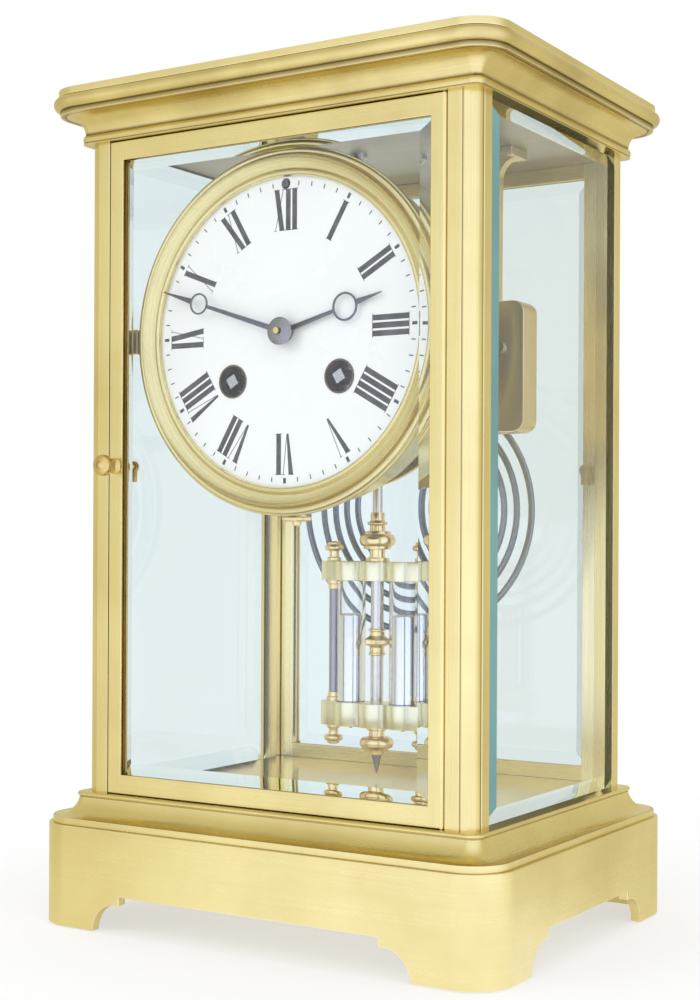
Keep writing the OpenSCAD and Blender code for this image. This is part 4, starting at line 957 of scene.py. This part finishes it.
@dataclass
class DialFace:
    """Dial, its printing, the bezel, the hands and the drum."""

    centre: Place = (0.0, -43.4, 192.2)
    numeral_in: float = 32.1
    numeral_out: float = 45.0
    print_t: float = 0.05
    hours: Sequence[str] = ("XII", "I", "II", "III", "IIII", "V", "VI", "VII", "VIII", "IX", "X", "XI")
    minute_in: float = 46.05
    minute_out: float = 47.5
    minute_w: float = 0.36
    fifth_out: float = 47.8
    fifth_w: float = 1.0
    show_r: float = 48.9
    bezel_r: float = 58.1
    drum_r: float = 54.5
    minute_y: float = -46.4
    hand_round: float = 0.12
    hand_shortest: float = 0.1
    collet_cap: Sequence[Point] = (
        (1.45, 0.0), (4.4, 0.0), (4.4, 0.55), (4.05, 0.7), (3.95, 0.6), (3.85, 0.8), (3.3, 1.05), (3.2, 0.95),
        (3.1, 1.15), (2.5, 1.35), (2.4, 1.25), (2.3, 1.45), (1.75, 1.6), (1.65, 1.5), (1.45, 1.5),
    )
    nut_profile: Sequence[Point] = (
        (0.0, 3.0), (1.15, 3.0), (1.15, -3.3), (1.7, -3.4), (4.3, -3.4), (4.7, -3.7), (4.8, -4.0), (4.8, -4.6),
        (4.7, -4.9), (4.3, -5.2), (1.7, -5.25), (1.45, -5.9), (1.2, -6.5), (0.7, -6.75), (0.0, -6.8),
    )
    nut_in: float = 4.5
    nut_ridges: int = 36
    nut_back: float = 7.0

    def stroke(
        self, bm: Mesh, start: Point, end: Point, width: float, level: bool = True, foot: float = 1.0,
    ) -> None:
        """Prints one straight stroke.

        Args:
            bm: Mesh that takes the stroke, flat in x and z.
            start: Middle of the stroke's first end.
            end: Middle of the stroke's last end.
            width: Width of the stroke.
            level: Whether the ends are cut level, across the numeral.
            foot: Share of the width at the stroke's first end.
        """
        a, b = Vector(start), Vector(end)
        side = Vector((1.0, 0.0)) if level else Vector(((b - a).y, -(b - a).x)).normalized()
        half = side * width / 2
        corners = [a - half * foot, a + half * foot, b + half, b - half]
        bm.faces.new([bm.verts.new((c.x, 0.0, c.y)) for c in corners])

    def numeral(self, letters: str, hour: int) -> Mesh:
        """Prints one hour numeral, its top outwards.

        Args:
            letters: The Roman numeral.
            hour: Hour on the dial.

        Returns:
            The numeral's flat mesh, round the dial's centre.
        """
        bm = bmesh.new()
        low, high = self.numeral_in, self.numeral_out
        thick, thin, serif = Stroke.THICK.value, Stroke.THIN.value, Stroke.SERIF.value
        x = -sum(LETTER_WIDTHS[c] for c in letters) / 2
        for letter in letters:
            half = LETTER_WIDTHS[letter] / 2
            mid = x + half
            if letter == "I":
                self.stroke(bm, (mid, low), (mid, high), thick)
                serifs = [(z, -half - 0.12, half + 0.12) for z in (low, high)]
            elif letter == "V":
                self.stroke(bm, (mid + 0.15, low), (mid - 1.2, high), thick, foot=0.4)
                self.stroke(bm, (mid + 0.4, low), (mid + 1.75, high), thin)
                serifs = [(high, -2.3, -0.1), (high, 1.1, 2.3)]
            else:
                self.stroke(bm, (mid + 1.0, low), (mid - 1.0, high), thick)
                self.stroke(bm, (mid - 1.45, low), (mid + 1.45, high), thin)
                serifs = [(low, -0.05, 2.05), (low, -2.0, -0.9), (high, -2.05, 0.05), (high, 0.9, 2.0)]
            for z, left, right in serifs:
                self.stroke(bm, (mid + left, z), (mid + right, z), serif, level=False)
            x += 2 * half
        return rotated(bm, 30 * hour, "Y")

    def track(self) -> Mesh:
        """Prints the minute marks, heavier at each fifth.

        Returns:
            The marks' flat mesh, round the dial's centre.
        """
        parts = []
        for minute in range(60):
            bm = bmesh.new()
            out, width = (self.minute_out, self.minute_w) if minute % 5 else (self.fifth_out, self.fifth_w)
            self.stroke(bm, (0.0, self.minute_in), (0.0, out), width)
            parts.append(rotated(bm, 6 * minute, "Y"))
        return joined(parts)

    def raised(self, bm: Mesh) -> Mesh:
        """Gives flat printing its thickness on the dial's face.

        Args:
            bm: Flat mesh round the dial's centre.

        Returns:
            The printing in its place.
        """
        made = bmesh.ops.extrude_face_region(bm, geom=list(bm.faces))
        front = [v for v in made["geom"] if isinstance(v, bmesh.types.BMVert)]
        bmesh.ops.translate(bm, vec=(0, -self.print_t, 0), verts=front)
        bmesh.ops.recalc_face_normals(bm, faces=bm.faces)
        return placed(bm, self.centre)

    def bezel(self) -> Mesh:
        """Turns the bezel's stepped ring.

        Returns:
            The bezel in its place.
        """
        rim, bead, lip = self.drum_r - 2.4, self.bezel_r - 1.5, self.show_r + 1.1
        crest = bead - 1.3
        profile = [(rim, -0.8), (self.bezel_r, -0.8), (self.bezel_r, 0.45), (self.bezel_r - 0.15, 0.6)]
        profile += arc(bead, 1.0, 1.1, -20, 150)
        profile += [(crest + 0.1, 1.3), (crest, 2.75), (crest - 0.15, 2.92)]
        profile += arc(crest - 3.7, 4.6, 4.0, -28, -92)
        profile += arc(lip, 0.9, 0.9, 20, 180)
        profile += [(self.show_r, 0.55), (self.show_r, 0.02), (rim, 0.02)]
        return placed(spun(profile, 160, closed=True), self.centre, Axis.FRONT)

    def build(self) -> None:
        """Builds the dial and what is seen with it."""
        x, y, z = self.centre
        printed = [self.numeral(letters, hour) for hour, letters in enumerate(self.hours)] + [self.track()]
        piece("dial_printing", self.raised(joined(printed)), "case", [DIAL_INK])
        ring = TurnedFinish("bezel_brass", (0.82, 0.72, 0.33), BRASS_DULL, self.centre)
        piece("bezel_ring", self.bezel(), "case", [ring], ["bezel"], sharp=28.0)
        for body in ("minute", "hour"):
            bm = soften(copied(f"{body}_hand"), self.hand_round, self.hand_shortest)
            piece(f"{body}_hand_blade", bm, body, [HAND_STEEL], [f"{body}_hand"])
        dress(TurnedFinish("drum_brass", BRASS_PALE, BRASS_DULL, self.centre, smooth=0.16, rough=0.26), "drum")
        dress(CASE_BRASS, "top_hanger")
        dress(DIAL_ENAMEL, "dial")
        dress(HOLE_EYELET_SHADE, "dial_eyelets")
        bm = placed(spun(self.collet_cap, 64, closed=True), (x, self.minute_y, z), Axis.FRONT)
        piece("hand_collet_cap", bm, "minute", [COLLET_STEEL], ["hand_collet"], sharp=24.0)
        dress(HAND_STEEL, "regulator_arbor")
        bm = spun(self.nut_profile, 2 * self.nut_ridges)
        mill(bm, self.nut_in, self.nut_ridges)
        placed(bm, (x, y + self.nut_back, z - self.drum_r))
        piece("drum_milled_nut", bm, "case", [ORNAMENT_BRASS], ["drum_thumb_nut"])


@dataclass
class Movement:
    """Plates, trains and hammer."""

    brass: Sequence[str] = (
        "front_plate", "back_plate", "plate_pillars", "suspension_cock", "hour_wheel", "minute_wheel",
        "going_barrel", "going_intermediate_wheel", "centre_wheel", "third_wheel", "escape_wheel",
        "strike_barrel", "strike_intermediate_wheel", "pin_wheel", "locking_wheel", "warning_wheel",
    )
    steel: Sequence[str] = (
        "clicks", "cannon_pinion", "going_winding_arbor", "strike_winding_arbor", "pallets", "fly", "hammer",
    )

    def build(self) -> None:
        """Dresses the CAD shapes of the movement."""
        dress(WHEEL_BRASS, *self.brass)
        dress(STEEL_WORK, *self.steel)


@dataclass
class Gong:
    """The coil gong of blued wire."""

    centre: Place = (10.0, 23.0, 137.5)
    reach: float = 44.6
    pitch: float = 4.6
    opening: float = 2.6
    turns: int = 5
    wire_r: float = 1.1
    end: float = 52.0
    steps: int = 64

    def point(self, turn: float) -> Place:
        """Gives a point of the wire's middle.

        Args:
            turn: Degrees along the wire from its outer end.

        Returns:
            The point in metres.
        """
        x, y, z = self.centre
        t = (turn + self.end - 180) / 360
        r = self.reach - self.pitch * t - self.opening * (1 - math.exp(-2 * t))
        a = math.radians(self.end + turn)
        return (MM * (x + r * math.cos(a)), MM * y, MM * (z + r * math.sin(a)))

    def build(self) -> None:
        """Bends the wire and replaces the CAD coil."""
        line = bpy.data.curves.new("gong_line", "CURVE")
        line.dimensions = "3D"
        line.bevel_depth = self.wire_r * MM
        line.bevel_resolution = 3
        line.use_fill_caps = True
        spline = line.splines.new("POLY")
        spline.points.add(self.steps * self.turns)
        for i, p in enumerate(spline.points):
            p.co = (*self.point(360 * i / self.steps), 1.0)
        bent = in_scene("gong_line", line)
        mesh = bpy.data.meshes.new_from_object(bent.evaluated_get(bpy.context.evaluated_depsgraph_get()))
        bpy.data.objects.remove(bent)
        bm = bmesh.new()
        bm.from_mesh(mesh)
        bpy.data.meshes.remove(mesh)
        bmesh.ops.scale(bm, vec=(1 / MM,) * 3, verts=bm.verts)
        piece("gong_wire", settle(bm), "case", [GONG_STEEL], ["gong_coil"])


@dataclass
class Pendulum:
    """Mercury pendulum: rod, yokes, jars, side rods and turned brass."""

    depth: float = 13.9
    yoke_low: float = 62.2
    jar_low: float = 70.4
    jar_high: float = 112.5
    yoke_top: float = 119.1
    jar_x: float = 10.5
    rod_x: float = 17.6
    jar_r: float = 5.0
    jar_wall: float = 0.9
    jar_floor: float = 1.0
    mercury_h: float = 29.7
    collar_half: float = 4.6
    bulb_h: float = 9.4
    point_top: float = 9.0
    rod_r: float = 2.2
    stem_r: float = 1.7
    yoke_round: float = 0.2
    yoke_shortest: float = 0.3
    ring_round: float = 0.06
    ring_shortest: float = 0.04
    small_finial: Profile = (
        (2.4, 0.0), (2.4, 1.2), (1.75, 1.5), (1.65, 2.5), (1.75, 3.5), Bulge(3.7, 5.8, 2.3, 3.3), (2.2, 5.9),
        (2.2, 6.5), (1.5, 6.9), (0.0, 7.0),
    )
    top_knob: Profile = (
        (4.2, 0.0), (4.2, 1.2), (2.7, 1.4), (2.6, 2.8), (2.7, 4.1), (4.7, 4.4), (4.8, 5.2),
        Bulge(5.3, 9.4, 4.7, 6.2), (4.6, 9.5), (4.5, 10.4), (2.7, 10.6), (2.6, 12.4),
        Bulge(12.6, 13.7, 2.8, 3.5), (2.4, 14.2), (2.4, 16.9),
    )
    middle_collar: Profile = (
        (2.4, 0.0), Bulge(0.0, 0.9, 2.6, 2.9), (2.55, 1.0), (2.5, 2.7), (2.9, 3.0), (3.1, 3.2), (4.1, 3.7),
        (4.45, 4.1), (4.45, 4.7), (4.45, 5.3), (4.1, 5.7), (3.0, 6.4), (2.6, 6.8), (2.5, 8.1),
        Bulge(8.3, 9.2, 2.6, 2.9), (2.4, 9.2),
    )
    low_bulb: Profile = (
        (2.6, 0.0), (2.7, 0.9), (3.9, 1.2), (4.1, 1.9), Bulge(2.0, 5.9, 4.2, 5.9), (3.2, 6.0), (2.7, 6.3),
        (2.7, 8.1), (3.35, 8.3), (3.35, 9.4),
    )
    cap_profile: Sequence[Point] = (
        (1.7, 0.0), (2.45, 0.0), (2.45, 1.25), (2.3, 1.4), (1.95, 1.5), (1.95, 3.0), (1.8, 3.2), (1.7, 3.2),
    )
    nub_profile: Sequence[Point] = ((0.0, -1.0), (0.45, -1.0), (0.6, -0.85), (0.8, 0.0), (0.0, 0.0))
    milled: int = 44
    mill_in: float = 4.3

    def turned(self, profile: Profile, bore: float, x: float, z: float, down: bool = False) -> Mesh:
        """Turns one ornament in its place.

        Args:
            profile: Points of radius and height.
            bore: Radius of the rod that it sits on; 0 for a solid end.
            x: Distance from the middle of the pendulum.
            z: Height of the ornament's foot.
            down: Whether it hangs down.

        Returns:
            The turned mesh.
        """
        line = drawn(profile)
        line = [(bore, line[0][1])] + line + ([(bore, line[-1][1])] if bore else [])
        bm = spun(line, 2 * self.milled, closed=bool(bore))
        soften(bm, self.ring_round, self.ring_shortest)
        if down:
            rotated(bm, 180, "X")
        return placed(bm, (x, self.depth, z))

    def rod_cap(self, x: float, upper: bool) -> Mesh:
        """Turns the stepped cap where a side rod meets a yoke, flat beside the jar.

        Args:
            x: Place of the rod.
            upper: Whether it sits under the upper yoke.

        Returns:
            The cap in its place.
        """
        inward = -math.copysign(1.0, x)
        flat = self.rod_x - self.jar_x - self.jar_r - 0.1
        bm = spun(self.cap_profile, 36, closed=True)
        sliced(bm, (inward * flat, 0, 0), (inward, 0, 0), trim=True)
        if upper:
            rotated(bm, 180, "X")
        bmesh.ops.recalc_face_normals(bm, faces=bm.faces)
        return placed(bm, (x, self.depth, self.jar_high if upper else self.jar_low))

    def ornaments(self) -> Mesh:
        """Turns the brass along the rods.

        Returns:
            All the turned pieces in one mesh.
        """
        collar_z = (self.jar_low + self.jar_high) / 2 - self.collar_half
        collar = self.turned(self.middle_collar, self.rod_r, 0.0, collar_z)
        mill(collar, self.mill_in, self.milled, self.depth)
        parts = [
            self.turned(self.top_knob, self.stem_r, 0.0, self.yoke_top), collar,
            self.turned(self.low_bulb, self.rod_r, 0.0, self.yoke_low - self.bulb_h),
        ]
        for x in (-self.rod_x, self.rod_x):
            parts.append(self.turned(self.small_finial, 0.0, x, self.yoke_top))
            parts.append(self.turned(self.small_finial, 0.0, x, self.yoke_low, True))
            parts += [self.rod_cap(x, upper) for upper in (False, True)]
        for x in (-self.jar_x, self.jar_x):
            parts.append(placed(spun(self.nub_profile, 24), (x, self.depth, self.yoke_low)))
        return joined(parts)

    def build(self) -> None:
        """Builds the pendulum's visible pieces."""
        bm = soften(copied("pendulum_yokes"), self.yoke_round, self.yoke_shortest)
        # The yokes take the paler brass, painted light.
        piece("pendulum_yoke_plates", bm, "pendulum", [PENDULUM_BRASS_PAINTED_LIGHT], ["pendulum_yokes"])
        bm = self.ornaments()
        piece("pendulum_turned_brass", bm, "pendulum", [ORNAMENT_BRASS], ["pendulum_finials"])
        self.jars()
        bm = copied("pendulum_rod")
        for face in bm.faces:
            face.material_index = 1 if face.calc_center_median().z < self.yoke_low - self.point_top else 0
        piece("pendulum_rod_shell", bm, "pendulum", [STEEL_ROD, POINT_STEEL], ["pendulum_rod"])
        dress(SIDE_STEEL, "pendulum_side_rods")

    def jars(self) -> None:
        """Builds the glass jars and the mercury in them."""
        r, length, inner = self.jar_r, self.jar_high - self.jar_low, self.jar_r - self.jar_wall
        wall = (
            (0.0, 0.0), (r - 0.2, 0.0), (r, 0.2), (r, length - 0.2), (r - 0.2, length), (inner + 0.2, length),
            (inner, length - 0.2), (inner, 0.3), (inner - 0.2, 0.1), (0.0, 0.1),
        )
        top, fill = self.jar_floor + self.mercury_h, inner - 0.06
        pool = (
            (0.0, 0.15), (fill - 0.2, 0.15), (fill, 0.35), (fill, top - 1.0), (fill - 0.25, top - 0.5),
            (fill - 1.0, top - 0.15), (0.0, top),
        )
        for name, profile, finish, slot, node in (
            ("jar_pair", wall, JAR_GLASS, "glass", "pendulum_jars"),
            ("mercury_pair", pool, MERCURY, "mercury", "pendulum_mercury"),
        ):
            places = [(x, self.depth, self.jar_low) for x in (-self.jar_x, self.jar_x)]
            bm = joined([placed(spun(profile, 48), at) for at in places])
            piece(name, bm, "pendulum", [finish], [node])


@dataclass
class Studio:
    """Floor, soft light and the camera."""

    camera_at: Place = (0.2965, -0.4837, 0.1285)
    lens: float = 60.37
    turn: float = 31.816
    roll: float = 0.274
    shift_y: float = 0.0342
    aim_at: Place = (0.0, 0.0, 0.14)
    dim: float = 0.77
    bright: float = 1.32
    dim_tone: Colour = (1.0, 0.955, 0.77)
    bright_tone: Colour = (0.95, 1.0, 1.28)
    bright_side: Place = (0.6, -0.8, 0.0)
    even_light: float = 0.8
    floor_tone: Colour = (0.9, 0.9, 0.9)
    floor_half: float = 6.0
    floor_drop: float = 0.0003

    def camera(self) -> None:
        """Sets the camera at the photographed angle."""
        data = bpy.data.cameras.new("camera")
        data.lens = self.lens
        data.sensor_width = 36.0
        data.sensor_fit = "AUTO"
        data.shift_y = self.shift_y
        data.clip_start = 0.01
        made = in_scene("camera", data)
        turn, level, roll = (
            Matrix.Rotation(math.radians(angle), 4, axis)
            for angle, axis in ((self.turn, "Z"), (90, "X"), (self.roll, "Z")))
        made.matrix_world = Matrix.Translation(self.camera_at) @ turn @ level @ roll
        bpy.context.scene.camera = made

    def lamp(self, name: str, at: Place, size: float, power: float) -> None:
        """Hangs one soft lamp that faces the clock.

        Args:
            name: Name of the lamp.
            at: Place in metres.
            size: Side of the square lamp in metres.
            power: Watts.
        """
        data = bpy.data.lights.new(name, "AREA")
        data.size = size
        data.energy = power
        made = in_scene(name, data)
        made.visible_glossy = made.visible_transmission = False
        made.location = at
        made.rotation_euler = (Vector(self.aim_at) - Vector(at)).to_track_quat("-Z", "Y").to_euler()

    def surround(self, nodes: Nodes, direction: Socket) -> tuple[Socket, Socket]:
        """Shades what metal and glass mirror: bright and cool at the right front, dim and warm elsewhere.

        Args:
            nodes: Nodes of the world or of the floor.
            direction: Socket with the direction from the clock.

        Returns:
            Sockets with the strength and the colour.
        """
        facing = nodes.vector("DOT_PRODUCT", "Value", direction, self.bright_side)
        lit = nodes.mapped(facing, 0.0, 1.0, -0.1, 0.75, "SMOOTHSTEP")
        level = nodes.mapped(lit, self.dim, self.bright, 0.0, 1.0)
        upward = nodes.add("SeparateXYZ", {0: direction}).outputs["Z"]
        shine = nodes.math("MULTIPLY", level, nodes.mapped(upward, 1.0, 0.92, -0.02, 0.35))
        return shine, nodes.mixed(lit, self.dim_tone, self.bright_tone)

    def shown(self, nodes: Nodes, direction: Socket) -> tuple[Socket, ...]:
        """Sorts what is seen by itself, in a mirror or through glass.

        Args:
            nodes: Nodes of the world or of the floor.
            direction: Socket with the direction from the clock.

        Returns:
            Sockets: seen in a mirror, seen through glass, strength and colour.
        """
        path = nodes.add("LightPath").outputs
        mirrored = nodes.math("GREATER_THAN", path["Glossy Depth"], 0.5)
        behind = nodes.math("SUBTRACT", path["Is Transmission Ray"], mirrored, clamp=True)
        shine, warmth = self.surround(nodes, direction)
        strength = nodes.between(mirrored, 1.0, shine)
        colour = nodes.mixed(mirrored, nodes.mixed(behind, WHITE, BACKDROP), warmth)
        return mirrored, behind, strength, colour

    def world(self) -> None:
        """Sets a white background and an even light; what is mirrored follows the surroundings."""
        world = bpy.data.worlds.new("studio")
        bpy.context.scene.world = world
        world.use_nodes = True
        world.node_tree.nodes.clear()
        nodes = Nodes(world.node_tree)
        mirrored, behind, strength, colour = self.shown(nodes, nodes.add("TexCoord").outputs["Generated"])
        by_itself = nodes.add("LightPath").outputs["Is Camera Ray"]
        seen = nodes.math("MAXIMUM", nodes.math("MAXIMUM", by_itself, mirrored), behind)
        level = nodes.between(seen, self.even_light, strength)
        light = nodes.add("Background", {"Color": colour, "Strength": level})
        nodes.add("OutputWorld", {"Surface": light.outputs["Background"]})

    def floor(self) -> None:
        """Lays a pale floor that keeps the clock's shadow."""
        bm = bmesh.new()
        bmesh.ops.create_grid(bm, x_segments=4, y_segments=4, size=self.floor_half)
        bmesh.ops.translate(bm, vec=(0, 0, -self.floor_drop), verts=bm.verts)
        mesh = bpy.data.meshes.new("floor")
        bm.to_mesh(mesh)
        bm.free()
        paint = bpy.data.materials.new("floor_paint")
        nodes = ShaderNodes(paint)
        along = nodes.vector("NORMALIZE", "Vector", nodes.coords)
        mirrored, behind, strength, colour = self.shown(nodes, along)
        far = nodes.mapped(nodes.vector("LENGTH", "Value", nodes.coords), 0.6, 1.0, 0.1, 0.32)
        by_itself = nodes.add("LightPath").outputs["Is Camera Ray"]
        seen = nodes.math("MAXIMUM", by_itself, mirrored)
        share = nodes.math("MULTIPLY_ADD", seen, far, behind, clamp=True)
        matt = nodes.add("BsdfDiffuse", {"Color": self.floor_tone}).outputs["BSDF"]
        glow = nodes.add("Emission", {"Color": colour, "Strength": strength}).outputs["Emission"]
        nodes.surface(nodes.add("MixShader", {0: share, 1: matt, 2: glow}).outputs["Shader"])
        mesh.materials.append(paint)
        made = in_scene("floor", mesh)

    def build(self) -> None:
        """Sets the whole studio."""
        bpy.context.scene.view_settings.view_transform = "Standard"
        self.camera()
        self.world()
        self.floor()
        self.lamp("key", (-0.9, -1.5, 1.1), 1.2, 10.0)
        self.lamp("fill", (1.4, -0.9, 0.9), 1.0, 5.0)
        self.lamp("top", (0.1, 0.1, 1.7), 1.2, 7.0)


def main() -> None:
    """Sets the studio and builds the clock from its case to its pendulum."""
    logging.basicConfig(level=logging.INFO, format="%(message)s")
    Studio().build()
    CaseShell().build()
    SideGlazing().build()
    Door("front").build()
    Door("rear", 180.0).build()
    DialFace().build()
    Movement().build()
    Gong().build()
    Pendulum().build()


if __name__ == "__main__":
    main()
